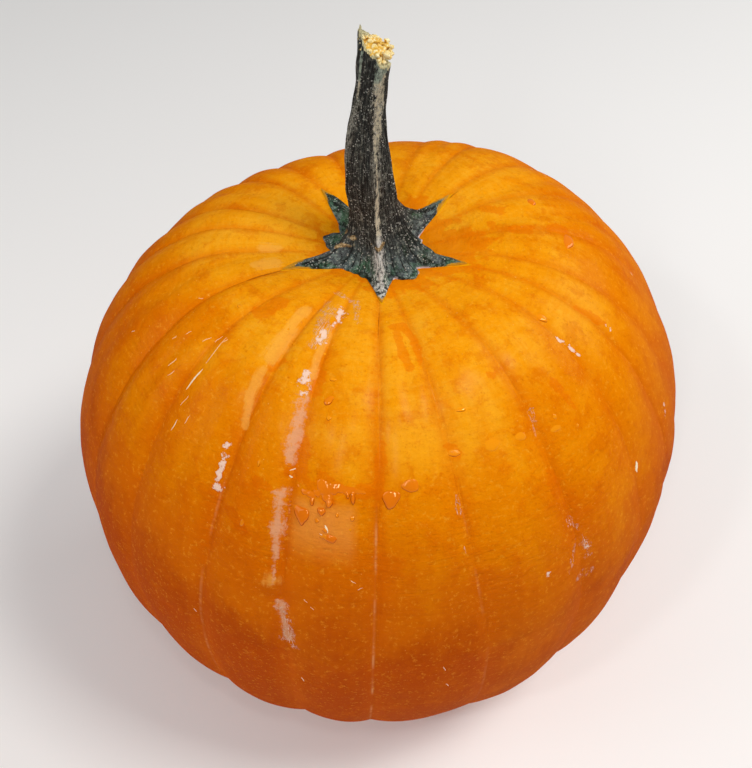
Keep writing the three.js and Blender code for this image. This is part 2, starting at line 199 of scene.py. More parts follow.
# Smooth random waves in space, between about -1 and 1
def waves_in_space(points, wavelength, seed, count=14):
    rng = np.random.default_rng(seed)
    directions = rng.normal(size=(count, 3))
    directions /= np.linalg.norm(directions, axis=1, keepdims=True)
    lengths = wavelength * rng.uniform(0.7, 1.6, count)
    phases = rng.uniform(0, 2 * np.pi, count)
    turns = points @ (directions * (2 * np.pi / lengths)[:, None]).T + phases
    return np.sin(turns).sum(-1) / math.sqrt(count) * 0.9


# Outline's radius as a share of the mean radius
def outline_share(azimuth):
    swell = sum(front * np.cos(n * azimuth) + right * np.sin(n * azimuth) for n, front, right in SWELLS)
    return 1 + swell / MEAN_RADIUS


# Smooth fruit without furrows
def smooth_fruit(azimuth, polar):
    along = np.abs(np.cos(polar))
    upper = polar < np.pi / 2
    share = np.sin(polar) ** np.where(upper, SHOULDER_FULLNESS, BELLY_FULLNESS)
    radius = share * MEAN_RADIUS * outline_share(azimuth)
    hollow = CROWN_HOLLOW_DEPTH * bell(share * MEAN_RADIUS, CROWN_HOLLOW_RADIUS)
    tilt = SHOULDER_TILT * np.sin(azimuth) * along * share
    above = SHOULDER_RISE * along ** SHOULDER_ROUNDING - hollow - tilt
    rise = np.where(upper, above, -BELLY_DROP * along ** BELLY_ROUNDING)
    centre, spread, height = BACK_SHOULDER
    turn = degrees_past(azimuth, centre)
    shoulder = height * bell(turn, spread) * window(polar, *BACK_SHOULDER_LEVELS)
    radius = radius + shoulder * np.sin(polar)
    rise = rise + shoulder * np.cos(polar)
    shift = np.where(upper, 0, along ** 2)
    x = radius * np.sin(azimuth) + BELLY_SHIFT[0] * shift
    y = -radius * np.cos(azimuth) + BELLY_SHIFT[1] * shift
    return np.stack([x, y, FLAT_SPOT_DROP + rise], -1)


CROWN_HEIGHT = float(smooth_fruit(np.zeros(1), np.zeros(1))[0, 2])


# Mean distance of the skin from the axis
def level_radius(polar):
    return MEAN_RADIUS * np.sin(polar) ** SHOULDER_FULLNESS


# Unit vectors out of the smooth fruit
def outward_direction(azimuth, polar):
    step = 0.001
    down = smooth_fruit(azimuth, polar + step) - smooth_fruit(azimuth, polar - step)
    around = smooth_fruit(azimuth + step, polar) - smooth_fruit(azimuth - step, polar)
    normal = np.cross(down, around)
    return normal / np.linalg.norm(normal, axis=-1, keepdims=True)


# Share of the furrows' depth at each level
def furrow_strength(polar):
    radius = level_radius(polar)
    degrees = np.degrees(polar)
    opening = np.where(degrees < 90, smoothstep(radius, *FURROW_OPENING), 1)
    waist = 1 - FURROW_FADE_SHARE * smoothstep(degrees, *FURROW_WAIST)
    softer, start, end = SHOULDER_SOFTNESS
    opening = opening * (1 - softer * (1 - smoothstep(degrees, start, end)))
    closing = np.where(degrees < 90, 1, 1 - smoothstep(degrees, *FURROW_END))
    return opening * waist * closing


# Azimuths of all furrows at each level, swept as they run down
def furrow_azimuths(polar):
    past = polar - SWEEP_CENTRE
    lean = np.where(past > 0, SWEEP_LIMIT * np.tanh(past / SWEEP_LIMIT), past)
    table = np.array(FURROWS)
    return np.radians(table[:, 0, None] + table[:, 1, None] * lean)


# Rib's cross-section: 0 in the furrows, 1 on the crest, with a rounded valley
def rib_bulge(share):
    height = 4 * share * (1 - share)
    rounded = np.sqrt(height ** 2 + VALLEY_WIDTH ** 2) - VALLEY_WIDTH
    return (rounded / (math.sqrt(1 + VALLEY_WIDTH ** 2) - VALLEY_WIDTH)) ** RIB_ROUNDNESS


# Furrows run shallower over the back of the shoulder
def back_calm(azimuth, polar):
    centre, spread, share = BACK_CALM
    turn = degrees_past(azimuth, centre)
    return 1 - share * bell(turn, spread) * (1 - smoothstep(np.degrees(polar), *BACK_CALM_END))


# Place of each point among the ribs: depth there, share of the rib, metres past the nearest furrow
def rib_place(azimuth, polar):
    edges = furrow_azimuths(polar)
    past = (azimuth - edges) % (2 * np.pi)
    near = past.argmin(0)
    far = (near + 1) % len(FURROWS)
    columns = np.arange(len(azimuth))
    width = (edges[far, columns] - edges[near, columns]) % (2 * np.pi)
    share = past[near, columns] / width
    depths = np.array(FURROWS)[:, 2] * MM
    depth = depths[near] * (1 - share) + depths[far] * share
    radius = level_radius(polar)
    side = np.where(share < 0.5, share, share - 1)
    return depth, share, side * width * radius


# Skin with its furrows, creases, shallow folds and undulation, from flat arrays of angles in radians
def skin_points(azimuth, polar):
    azimuth, polar = np.broadcast_arrays(np.asarray(azimuth, float), np.asarray(polar, float))
    azimuth, polar = azimuth.ravel(), polar.ravel()
    base = smooth_fruit(azimuth, polar)
    depth, share, away = rib_place(azimuth, polar)
    strength = furrow_strength(polar) * back_calm(azimuth, polar)
    sunk = depth * strength * (1 - rib_bulge(share))
    broken = 0.75 + 0.25 * waves_in_space(base, *CREASE_BREAKS)
    sunk += CREASE_DEPTH * broken * strength * bell(away, CREASE_WIDTH)
    radius = level_radius(polar)
    for centre, start, end, fold_depth, half_width in SHALLOW_FURROWS:
        turn = turn_between(azimuth, math.radians(centre))
        wander = FOLD_WANDER * np.sin(polar * 9 + centre)
        across = (turn * radius + wander) / (half_width * MM)
        reach = window(np.degrees(polar), start, start + FOLD_FADE[0], end - FOLD_FADE[1], end)
        sunk += fold_depth * MM * reach * bell(across, 1)
    closing = np.where(polar < np.pi / 2, 1, 1 - smoothstep(np.degrees(polar), *FURROW_END))
    for wavelength, amount, seed in UNDULATION_WAVES:
        height = UNDULATION * amount * (1 + waves_in_space(base, wavelength, seed))
        sunk += height * smoothstep(radius, *UNDULATION_START) * closing
    knob_azimuth, knob_polar, knob_height, knob_radius = KNOB
    beside = (azimuth - math.radians(knob_azimuth)) * radius
    below = (polar - math.radians(knob_polar)) * MEAN_RADIUS
    sunk -= knob_height * np.exp(-((beside ** 2 + below ** 2) / knob_radius ** 2))
    return base - outward_direction(azimuth, polar) * sunk[:, None]


def above_skin(azimuth, polar, lift):
    return skin_points(azimuth, polar) + outward_direction(azimuth, polar) * lift


# Polar angle on the crown at a distance from the axis
def crown_polar(azimuth, radius):
    share = radius / (MEAN_RADIUS * outline_share(azimuth))
    return np.arcsin(share ** (1 / SHOULDER_FULLNESS))


# Object from arrays of vertices and faces
def mesh_object(name, vertices, faces, material, slot, smooth=True):
    mesh = bpy.data.meshes.new(name)
    mesh.from_pydata([tuple(v) for v in vertices], [], [tuple(f) for f in faces])
    mesh.validate()
    mesh.polygons.foreach_set("use_smooth", [smooth] * len(mesh.polygons))
    mesh.materials.append(material)
    piece = bpy.data.objects.new(name, mesh)
    bpy.context.scene.collection.objects.link(piece)
    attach(piece, "root")
    return piece


# Fields of values, one for each vertex, that the materials read
def point_attributes(piece, **fields):
    for name, values in fields.items():
        values = np.asarray(values, np.float32)
        kind, key = ("FLOAT_VECTOR", "vector") if values.ndim == 2 else ("FLOAT", "value")
        layer = piece.data.attributes.new(name, kind, "POINT")
        layer.data.foreach_set(key, values.ravel())


# Faces of a closed surface of rings between two poles; vertex 0 is the first pole, the last the other
def ring_faces(rings, columns):
    column = np.arange(columns)
    following = (column + 1) % columns
    faces = [(0, 1 + c, 1 + f) for c, f in zip(column, following)]
    for ring in range(rings - 1):
        upper = 1 + ring * columns
        lower = upper + columns
        faces += zip(upper + column, lower + column, lower + following, upper + following)
    start = 1 + (rings - 1) * columns
    last = 1 + rings * columns
    faces += [(start + c, last, start + f) for c, f in zip(column, following)]
    return faces


# Faces between neighbouring lines of points
def strip_faces(lines, steps):
    starts = [line * steps + step for line in range(lines - 1) for step in range(steps - 1)]
    return [(a, a + 1, a + 1 + steps, a + steps) for a in starts]


# Vertices and faces of several parts in one list each
def joined_parts(parts):
    vertices, faces = [], []
    for points, part_faces in parts:
        offset = len(vertices)
        vertices.extend(points)
        faces.extend(tuple(offset + i for i in face) for face in part_faces)
    return vertices, faces


# Least distance from the axis that a stroke counts with
NEAR_AXIS = 0.004


# Signed field of a stroke along points of azimuth and polar angle: 1 on its line, 0 at its edge
def stroke_field(azimuth, polar, points, half_width):
    radius = np.maximum(level_radius(polar), NEAR_AXIS)
    nearest = np.full(len(azimuth), np.inf)
    path = np.radians(np.array(points, float))
    if len(path) == 1:
        path = np.vstack([path, path])
    for start, end in zip(path[:-1], path[1:]):
        right, down = turn_between(azimuth, start[0]) * radius, (polar - start[1]) * MEAN_RADIUS
        run, fall = (end[0] - start[0]) * radius, (end[1] - start[1]) * MEAN_RADIUS
        along = np.clip((right * run + down * fall) / np.maximum(run ** 2 + fall ** 2, 1e-12), 0, 1)
        nearest = np.minimum(nearest, np.hypot(right - along * run, down - along * fall))
    return 1 - nearest / half_width


# Small helper for building shader node trees
class Shader:
    def __init__(self, name):
        self.material = bpy.data.materials.new(name)
        self.material.use_nodes = True
        self.nodes = self.material.node_tree.nodes
        self.links = self.material.node_tree.links
        self.surface = self.nodes["Principled BSDF"]

    def put(self, socket, value):
        if isinstance(value, bpy.types.NodeSocket):
            self.links.new(value, socket)
        else:
            socket.default_value = value

    def node(self, kind, inputs=(), **settings):
        made = self.nodes.new(kind)
        for key, value in settings.items():
            setattr(made, key, value)
        for socket, value in dict(inputs).items():
            self.put(made.inputs[socket], value)
        return made

    def attribute(self, name, vector=False):
        made = self.node("ShaderNodeAttribute", attribute_name=name)
        return made.outputs["Vector" if vector else "Fac"]

    def place(self):
        return self.node("ShaderNodeTexCoord").outputs["Object"]

    def noise(self, scale, detail=3, roughness=0.5, vector=None, distortion=0):
        inputs = {"Scale": scale, "Detail": detail, "Roughness": roughness, "Distortion": distortion}
        inputs["Vector"] = vector or self.place()
        return self.node("ShaderNodeTexNoise", inputs).outputs["Fac"]

    def cells(self, scale):
        inputs = {"Scale": scale, "Vector": self.place()}
        return self.node("ShaderNodeTexVoronoi", inputs).outputs["Distance"]

    def math(self, operation, first, second=0):
        return self.node("ShaderNodeMath", {0: first, 1: second}, operation=operation).outputs[0]

    def times(self, first, second):
        return self.math("MULTIPLY", first, second)

    def swing(self, value, amount):
        return self.times(self.math("SUBTRACT", value, 0.5), amount)

    def total(self, first, *others):
        for other in others:
            first = self.math("ADD", first, other)
        return first

    def between(self, value, low, high, to_low=0, to_high=1):
        inputs = {"Value": value, "From Min": low, "From Max": high, "To Min": to_low, "To Max": to_high}
        return self.node("ShaderNodeMapRange", inputs, interpolation_type="SMOOTHSTEP").outputs[0]

    def mix(self, share, first, second):
        made = self.node("ShaderNodeMix", data_type="RGBA")
        for index, value in ((0, share), (6, first), (7, second)):
            self.put(made.inputs[index], value)
        return made.outputs[2]

    def blend(self, value, low, high, first, second):
        return self.mix(self.between(value, low, high), colour(*first), colour(*second))

    # Colours laid over the base one after another, each through its mask
    def layers(self, base, *layers):
        for mask, tint in layers:
            base = self.mix(mask, base, tint if isinstance(tint, bpy.types.NodeSocket) else colour(*tint))
        return base

    # Relief from heights, each with its distance and strength
    def relief(self, *bumps):
        normal = {}
        for height, distance, strength in bumps:
            inputs = {"Height": height, "Distance": distance, "Strength": strength, **normal}
            normal = {"Normal": self.node("ShaderNodeBump", inputs).outputs["Normal"]}
        return normal["Normal"]

    def finish(self, **inputs):
        for name, value in inputs.items():
            self.put(self.surface.inputs[name.replace("_", " ")], value)
        return self.material


def colour(red, green, blue):
    def linear(value):
        value /= 255
        return value / 12.92 if value <= 0.04045 else ((value + 0.055) / 1.055) ** 2.4
    return (linear(red), linear(green), linear(blue), 1)


# Wet, deeper-coloured stains on the skin: points of azimuth and polar angle, half width in millimetres
WET_STAINS = [
    ([(7.5, 19.5), (8.4, 23.8), (10, 27)], 1.8),
    ([(6, 18), (11, 17.5), (13.8, 21.1), (13.6, 26.2)], 1.7),
    ([(15.6, 42.5), (17, 44)], 2.4),
    ([(35.8, 54), (36.5, 58)], 2.8),
    ([(0.8, 40.5), (0.5, 45.1), (0.4, 49.6)], 1.9),
    ([(-16.2, 42), (-15.4, 47.5)], 2.8),
    ([(-32, 30.5), (-31, 31.5), (-28.5, 29)], 1.6),
    ([(112.8, 17.6), (110, 19)], 3.4),
    ([(102.8, 16.6)], 2.2),
    ([(97, 20.4), (97.5, 23)], 2.4),
    ([(99.5, 28.2), (98.5, 30.5)], 2.6),
    ([(69.5, 35), (71.4, 41.6)], 1.9),
    ([(46, 40), (47, 46)], 2),
    ([(-16.6, 29), (-16.2, 33)], 2.2),
    ([(-17.6, 47.4), (-14, 48.6), (-12, 49.6)], 2.4),
    ([(-13, 49.4), (-9, 48.6), (-5, 48.9), (-2.8, 48.6)], 3),
    ([(-10.6, 48), (-10, 50.5)], 3.4),
    ([(-24, 50.5), (-21.5, 51)], 2.2),
    ([(-28, 58), (-25, 60)], 2.4),
    ([(30.7, 32.4), (32, 33)], 1.4),
    ([(-47.4, 23.4), (-45.6, 19.4)], 4),
]
# Wet ring around the foot: its radius on the left and on the right, where it is widest, and its soft edge
WET_CROWN = (0.024, 0.040)
WET_CROWN_SIDE = 82
WET_CROWN_EDGE = 0.012

# Painted highlights: pale, satiny strips along the ribs and a spot on the knob
PALE_STRIPS = [
    ([(-33.6, 18.2), (-32.8, 24), (-32.4, 30)], 3.4),
    ([(-32.8, 32), (-32, 37), (-30.6, 42.7)], 2.1),
    ([(-18.4, 21), (-19, 26), (-18.6, 30)], 2),
    ([(-18, 68.6)], 5),
    ([(-71, 18.6), (-70, 14.6)], 2.6),
    ([(-83, 16.6), (-83.4, 13.6)], 2.6),
]

# Painted reflections: rough pinkish strips along a rib
WORN_STRIPS = [
    ([(-18.4, 34.5), (-18.5, 40), (-18.6, 45.4)], 2.4),
    ([(-18.8, 51.5), (-18.5, 55.5), (-18.4, 59.5)], 2.6),
    ([(-18.2, 60), (-18, 64.5)], 1.5),
    ([(-18, 65), (-17.8, 69.5)], 1),
    ([(-16.4, 74), (-15.8, 79), (-15, 84)], 1.9),
]

# Dark cracks that run on from the tips of the foot
CRACKS = [
    ([(-65, 13), (-64.6, 18)], 0.4),
    ([(-64.6, 18), (-64.2, 21)], 0.28),
    ([(-64.2, 21), (-64.2, 24.6)], 0.16),
    ([(133, 13), (133, 16)], 0.36),
    ([(133, 16), (133, 18.5)], 0.22),
    ([(1.4, 11), (0.3, 17), (0, 24)], 0.15),
]

# Painted sheen, a faint pale field painted where a window's reflection falls, that ends at a furrow:
# azimuth from and to, polar angle from and to
SHEEN = (-17.2, -3.9, 50.5, 64)

# Painted shade, a darker line in each furrow, and a paler halo around the foot's tips
FURROW_LINE_WIDTH = 0.0014
HALO_WIDTH = 0.0022

# Painted highlight, a pale thread on the lit wall beside some furrows: side and width in metres, then
# azimuth, spread and strength
THREAD_SIDE = -0.0007
THREAD_WIDTH = 0.00036
THREADS = [(0, 8, 1), (-32, 6, 0.4), (18, 6, 0.3)]
# Polar angles where the threads begin and end
THREAD_LEVELS = (50, 60, 100, 125)
# Waves that break the threads: wavelength and seed
THREAD_BREAKS = (0.022, 43)
# Waves that roughen the strokes' edges: share, wavelength, seed
EDGE_WAVES = [(1, 0.016, 41), (0.7, 0.006, 42)]
# Reach of the foot over which its tips get their halo
HALO_TIPS = (0.021, 0.032)

# Flakes of dry wax
WAX_SCARS = [
    ([(-18.8, 15), (-18, 17.4)], 2),
    ([(-18.4, 18), (-19.6, 19.6)], 1.3),
    ([(-20.6, 21), (-20.4, 23.8)], 1.4),
    ([(-20.4, 30.2), (-19.8, 31.6)], 2.2),
    ([(-19.2, 32), (-19, 34.2)], 1.8),
    ([(-32.6, 46.8), (-32.4, 49.8)], 1.2),
    ([(-32.3, 50.2), (-32.6, 53)], 1),
    ([(-32.2, 53.6), (-31.8, 55.2)], 1.4),
    ([(37, 65.4), (37.9, 66.6)], 1.2),
    ([(39.2, 70.8), (39.5, 73.4)], 1.2),
    ([(29.8, 72.7), (31.2, 72.9)], 0.8),
    ([(73.8, 66.4), (73.2, 69.4)], 1.3),
    ([(71.5, 42), (71.8, 43.2)], 1.1),
    ([(56.2, 34.8), (56.6, 36)], 1),
    ([(56.9, 37.4), (57.2, 38.6)], 1.1),
    ([(57.5, 39.4), (57.7, 40.4)], 0.8),
]

# Webs of fine dry lines
WAX_LACE = [
    ([(-22.5, 15.5), (-21.5, 19.5)], 5.2),
    ([(-20, 20), (-21, 24)], 3),
    ([(-15.9, 75), (-15.3, 80.4), (-14.6, 86)], 3.2),
    ([(36.8, 64.4), (38.6, 67.4)], 2.2),
    ([(37.4, 69), (36.4, 72), (34.8, 76.6)], 1.4),
    ([(39.2, 70), (39.6, 75)], 2.6),
    ([(37.6, 79.6), (40.6, 80.6)], 2.6),
    ([(37, 42), (35.8, 46.6)], 1.8),
    ([(15.3, 51), (15.4, 54.4)], 1.1),
    ([(15.4, 60), (15.4, 63)], 0.8),
    ([(-12.6, 13), (-9, 17)], 1.6),
    ([(-30, 11), (-14, 12)], 1.6),
]

# Rind: clouded orange with painted shade in the furrows, low down and away from the lit side, deeper where
# it is wet, milky where it is dry, partly waxy bloom and partly a painted sheen of the sky, with painted
# highlights and reflections in strips and threads
def skin_material():
    s = Shader("pumpkin_skin")
    grain, wrinkle = s.attribute("grain", vector=True), s.attribute("wrinkle", vector=True)
    tone = s.attribute("tone")
    clouds = s.noise(26, 6, 0.62, distortion=0.4)
    mottles = s.noise(120, 6, 0.7)
    ragged = s.noise(210, 4, 0.6)
    flaky = s.noise(420, 5, 0.7)
    grit = s.noise(560, 6, 0.75)
    streaks = s.noise(10, 6, 0.65, grain)
    fine_streaks = s.noise(40, 6, 0.7, grain)
    lines = s.noise(30, 6, 0.7, wrinkle)

    # Colour depth: random mottling plus the painted shading
    shade = s.total(tone, s.swing(clouds, 0.95), s.swing(mottles, 0.4), s.swing(streaks, 0.5))
    # Milky where dry, on the lit shoulder only: partly waxy bloom, partly a painted sheen of the sky
    milky = s.total(s.swing(clouds, -1.2), s.swing(fine_streaks, 0.6), s.swing(lines, 0.7))
    milky = s.times(s.between(milky, -0.12, 0.2), s.between(tone, 0.08, 0.34, 1, 0))
    furrow = s.times(s.attribute("furrow"), s.between(fine_streaks, 0.46, 0.56, 0, 0.38))
    sheen = s.times(s.attribute("sheen"), s.between(clouds, 0.36, 0.56, 0.35, 0.62))
    wet = s.total(s.attribute("wet"), s.swing(ragged, 1.8), s.swing(mottles, 2.4), s.swing(streaks, 1.2))
    wet = s.between(wet, 0, 0.3)
    # Painted highlights in the pale strips
    pale = s.total(s.attribute("pale"), s.swing(ragged, 1), s.swing(fine_streaks, 1.6), s.swing(grit, 0.9))
    worn = s.total(s.attribute("worn"), s.swing(ragged, 1.6), s.swing(grit, 3.4), s.swing(fine_streaks, 2))
    thread = s.times(s.attribute("thread"), s.between(mottles, 0.44, 0.54, 0.25, 0.85))
    crack = s.total(s.attribute("crack"), s.swing(grit, 1.5))
    halo = s.total(s.attribute("halo"), s.swing(mottles, 1.2))
    dark_dots = s.times(s.between(s.cells(330), 0, 0.14, 0.6, 0), s.between(mottles, 0.52, 0.62))
    pale_dots = s.times(s.between(s.cells(290), 0, 0.09, 0.5, 0), s.between(clouds, 0.45, 0.55))

    flakes = s.between(s.total(s.attribute("scar"), s.swing(flaky, 6.5)), 0.45, 0.75)
    web = s.math("ABSOLUTE", s.math("SUBTRACT", s.noise(90, 3, 0.6, grain), 0.5))
    web = s.between(s.total(web, s.swing(flaky, 0.12)), 0, 0.022, 0.9, 0)
    powder = s.between(grit, 0.52, 0.6, 0, 0.5)
    lace = s.between(s.total(s.attribute("lace"), s.swing(ragged, 3.2)), 0.25, 0.65)
    dry = s.math("MAXIMUM", flakes, s.times(lace, s.math("MAXIMUM", web, powder)))

    base = s.layers(
        s.blend(shade, 0, 0.34, (243, 155, 10), (231, 130, 0)),
        (s.between(shade, 0.3, 0.66), (218, 106, 0)),
        (s.between(shade, 0.62, 1.05), (190, 74, 0)),
        (s.times(milky, 0.5), (250, 180, 44)),
        # Painted shade: deeper towards the furrows, darkest in a line along them
        (s.between(s.attribute("crest"), 0, 0.75, 0.34, 0), (218, 96, 0)),
        (furrow, (186, 76, 0)),
        (s.between(lines, 0.55, 0.66, 0, 0.12), (208, 94, 0)),
        (s.between(mottles, 0.53, 0.62, 0, 0.3), (216, 102, 0)),
        (s.between(grit, 0.55, 0.68, 0, 0.42), (204, 94, 0)),
        (s.between(grit, 0.46, 0.34, 0, 0.34), (252, 178, 50)),
        # Painted reflection of a window
        (sheen, (236, 150, 62)),
        (s.times(wet, 0.58), s.blend(shade, 0.1, 0.7, (234, 118, 0), (208, 88, 0))),
        # Painted highlights
        (s.times(s.between(pale, 0.05, 0.55), 0.5), (248, 178, 74)),
        (s.between(worn, -0.05, 0.8, 0, 0.72), (232, 172, 132)),
        # Painted highlight along some furrows
        (thread, (232, 160, 96)),
        (s.between(crack, 0, 0.9, 0, 0.65), (132, 58, 6)),
        (s.between(halo, 0.35, 0.75, 0, 0.7), (238, 176, 10)),
        (dark_dots, (190, 84, 0)),
        (pale_dots, (255, 204, 110)),
        (s.times(dry, 0.88), (246, 214, 196)))
    rough = s.total(s.between(mottles, 0.4, 0.6, 0.3, 0.46), s.swing(grit, 0.2))
    rough = s.math("SUBTRACT", rough, s.times(wet, 0.14))
    low_lines = s.times(lines, s.between(tone, 0.25, 0.7, 0.12, 0.8))
    relief = s.relief(
        (low_lines, 0.003, 0.6), (mottles, 0.0022, 0.6), (grit, 0.0007, 0.7), (dry, 0.0002, 0.6))
    return s.finish(
        Base_Color=base, Roughness=rough, Normal=relief,
        Specular_IOR_Level=0, Coat_Weight=0.05, Coat_Roughness=0.22)


# Fruit's skin, with columns that follow the ribs and crowd towards the furrows
def make_skin():
    rest_cosine = (FLAT_SPOT_DROP / BELLY_DROP) ** (1 / BELLY_ROUNDING)
    rest_polar = np.pi - math.acos(rest_cosine)
    polars = np.linspace(0, 1, SKIN_ROWS + 2)[1:-1] ** ROW_CROWDING * rest_polar
    shares = crowded_shares(RIB_COLUMNS, COLUMN_CROWDING)
    edges = furrow_azimuths(polars)
    widths = (np.roll(edges, -1, axis=0) - edges) % (2 * np.pi)
    azimuths = edges[:, None, :] + widths[:, None, :] * shares[None, :, None]
    azimuths = azimuths.reshape(-1, SKIN_ROWS).T
    columns = azimuths.shape[1]
    azimuth, polar = azimuths.ravel(), np.repeat(polars, columns)
    points = skin_points(azimuth, polar)

    ring_azimuth = azimuths[-1]
    rest = skin_points(ring_azimuth, np.full(columns, rest_polar))
    flat_rings = [rest * (1, 1, 0)]
    for radius in SCAR_RINGS:
        ring = rest * (radius / np.linalg.norm(rest[:, :2], axis=1).max(), radius / FLAT_SPOT_RADIUS, 0)
        ring[:, 2] = scar_height(radius, ring_azimuth)
        flat_rings.append(ring)
    flat = np.concatenate(flat_rings)
    pole = smooth_fruit(np.zeros(1), np.zeros(1))
    centre = np.array([[0, 0, scar_height(0, 0)]])
    vertices = np.concatenate([pole, points, flat, centre])
    vertices[:, 2] = np.maximum(vertices[:, 2], 0)
    rings = SKIN_ROWS + len(flat_rings)
    skin = mesh_object("pumpkin_skin", vertices, ring_faces(rings, columns), skin_material(), "skin")

    extra = len(flat) + 1
    azimuth = np.concatenate([[0], azimuth, np.tile(ring_azimuth, len(flat_rings)), [0]])
    polar = np.concatenate([[1e-4], polar, np.full(extra, rest_polar)])
    add_skin_attributes(skin, vertices, azimuth, polar)
    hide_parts("fruit")


# Blossom scar under the fruit: a shallow dimple with a raised, puckered ring
def scar_height(radius, azimuth):
    dimple = SCAR_DEPTH * (1 - smoothstep(np.asarray(radius, float), SCAR_RADIUS * 0.5, SCAR_RADIUS * 2.6))
    pucker = PUCKER_HEIGHT * np.sin(PUCKERS * azimuth) * bell(radius - SCAR_RADIUS, PUCKER_REACH)
    rim = SCAR_RIM_HEIGHT * bell(radius - SCAR_RADIUS * 0.75, SCAR_RIM_WIDTH)
    return np.maximum(dimple - rim + pucker, 0)


# Painted light: the lit side, where the colour is painted palest, and a rib painted lighter: azimuth,
# spread and amount
LIT_SIDE = 28
LIGHTER_RIB = (52, 26, 0.14)


# Painted shading of the skin's colour: painted light on the lit shoulder, painted shade low down and round
# the back
def tone_at(azimuth, polar):
    degrees = np.degrees(polar)
    # Painted shade, deeper away from the lit side on the upper half
    side = (0.5 - 0.5 * np.cos(azimuth - math.radians(LIT_SIDE))) ** 0.8
    centre, spread, amount = LIGHTER_RIB
    lighter = amount * bell(degrees_past(azimuth, centre), spread) * smoothstep(degrees, 52, 72)
    return smoothstep(degrees, 12, 110) + 0.34 * side * smoothstep(degrees, 12, 50) - 0.02 - lighter


def add_skin_attributes(skin, vertices, azimuth, polar):
    _, share, away = rib_place(azimuth, polar)
    radius = np.hypot(vertices[:, 0], vertices[:, 1])
    upper = polar < np.pi / 2
    furrow = bell(away, FURROW_LINE_WIDTH) * furrow_strength(polar) * back_calm(azimuth, polar)
    down = np.degrees(polar)
    low = window(down, *THREAD_LEVELS)
    broken = smoothstep(waves_in_space(vertices, *THREAD_BREAKS), -0.8, 0.1)
    turn = degrees_past(azimuth, 0)
    shown = sum(weight * bell(turn - centre, spread) for centre, spread, weight in THREADS)
    thread = bell(away - THREAD_SIDE, THREAD_WIDTH)
    thread *= low * broken * shown
    left, right, top, bottom = SHEEN
    sheen = window(turn, left, left + 3, right - 0.5, right)
    sheen *= window(down, top, top + 2, bottom - 8, bottom)
    grain = np.stack([np.cos(azimuth), np.sin(azimuth), polar * 0.10], -1)
    wrinkle = np.stack([np.cos(azimuth) * 0.25, np.sin(azimuth) * 0.25, polar * 2.2], -1)
    wet = np.full(len(polar), -1.0)
    for points, half_width in WET_STAINS:
        wet = np.maximum(wet, stroke_field(azimuth, polar, points, half_width * MM))
    right = 0.5 + 0.5 * np.cos(azimuth - math.radians(WET_CROWN_SIDE))
    spread = WET_CROWN[0] + (WET_CROWN[1] - WET_CROWN[0]) * right ** 3
    spread = spread * (1 + 0.10 * np.sin(azimuth * 5 + 1) + 0.06 * np.sin(azimuth * 13))
    wet = np.where(upper, np.maximum(wet, np.clip((spread - radius) / WET_CROWN_EDGE, -1, 1)), wet)
    reach = foot_radius(np.degrees(azimuth))
    tips = smoothstep(reach, *HALO_TIPS)
    halo = np.exp(-np.clip(radius - reach, 0, 1) / HALO_WIDTH) * (0.25 + 0.75 * tips) * upper
    point_attributes(
        skin, crest=rib_bulge(share), furrow=furrow, thread=thread, sheen=sheen,
        tone=tone_at(azimuth, polar), grain=grain, wrinkle=wrinkle, wet=wet, halo=halo)
    uneven = sum(share * waves_in_space(vertices, length, seed) for share, length, seed in EDGE_WAVES)
    for name, strokes, change in (
            ("pale", PALE_STRIPS, 0.2), ("worn", WORN_STRIPS, 0.25), ("scar", WAX_SCARS, 0.4),
            ("lace", WAX_LACE, 0.3), ("crack", CRACKS, 0.4)):
        fields = [stroke_field(azimuth, polar, points, half_width * MM) for points, half_width in strokes]
        point_attributes(skin, **{name: np.maximum(np.max(fields, axis=0), -4) + change * uneven})


# Reach of the stalk's foot
def foot_radius(degrees):
    reach = np.zeros_like(degrees)
    ripple = FOOT_RIPPLE * (np.sin(np.radians(degrees) * 17 + 1) + 0.8 * np.sin(np.radians(degrees) * 31))
    for lobes, power in ((MAIN_LOBES, LOBE_POWER), (SMALL_LOBES, SMALL_LOBE_POWER)):
        for centre, tip, spread in lobes:
            away = np.minimum(np.abs(degrees_between(degrees, centre)) / spread, 1)
            shape = (1 - away) ** power if power > 2 else np.cos(away * np.pi / 2) ** power
            reach = np.maximum(reach, (tip - FOOT_VALLEY_RADIUS) * shape)
    return FOOT_VALLEY_RADIUS + reach + ripple * (1 - smoothstep(reach, *RIPPLE_END))


# Share of the way from one main lobe to the next
def lobe_share(degrees):
    past = (degrees[None, :] - LOBE_STARTS[:, None]) % 360
    return past.min(0) / LOBE_GAPS[past.argmin(0)]


# Tapering radius of the shaft with its ridges
def shaft_radius(degrees, height):
    radius = NECK_RADIUS + (TIP_RADIUS - NECK_RADIUS) * smoothstep(height, *TAPER)
    share = lobe_share(degrees)
    ridges = RIDGE_HEIGHT * np.cos(2 * np.pi * share) + MINOR_RIDGE_HEIGHT * np.cos(4 * np.pi * share)
    return radius * (1 + ridges)


# The middle line's place in x, bowed to the left
def bow_at(height):
    return -STALK_BOW * np.sin(np.pi * height / BOW_SPAN) ** 2


# Points around the stalk's bowed middle line, turned with its twist
def beside_middle_line(degrees, radius, height):
    twist = STALK_TWIST * smoothstep(height, NECK_HEIGHT / 2, STALK_HEIGHT)
    angle = np.radians(degrees + twist)
    x = bow_at(height) + radius * np.sin(angle)
    y = STALK_SHIFT_Y * smoothstep(height, 0, NECK_HEIGHT) - radius * np.cos(angle)
    return np.stack([x, y, CROWN_HEIGHT + height + 0 * angle], -1)


def splinter_shape(degrees):
    return bell(degrees_between(degrees + STALK_TWIST, SPLINTER[0]), SPLINTER[2])


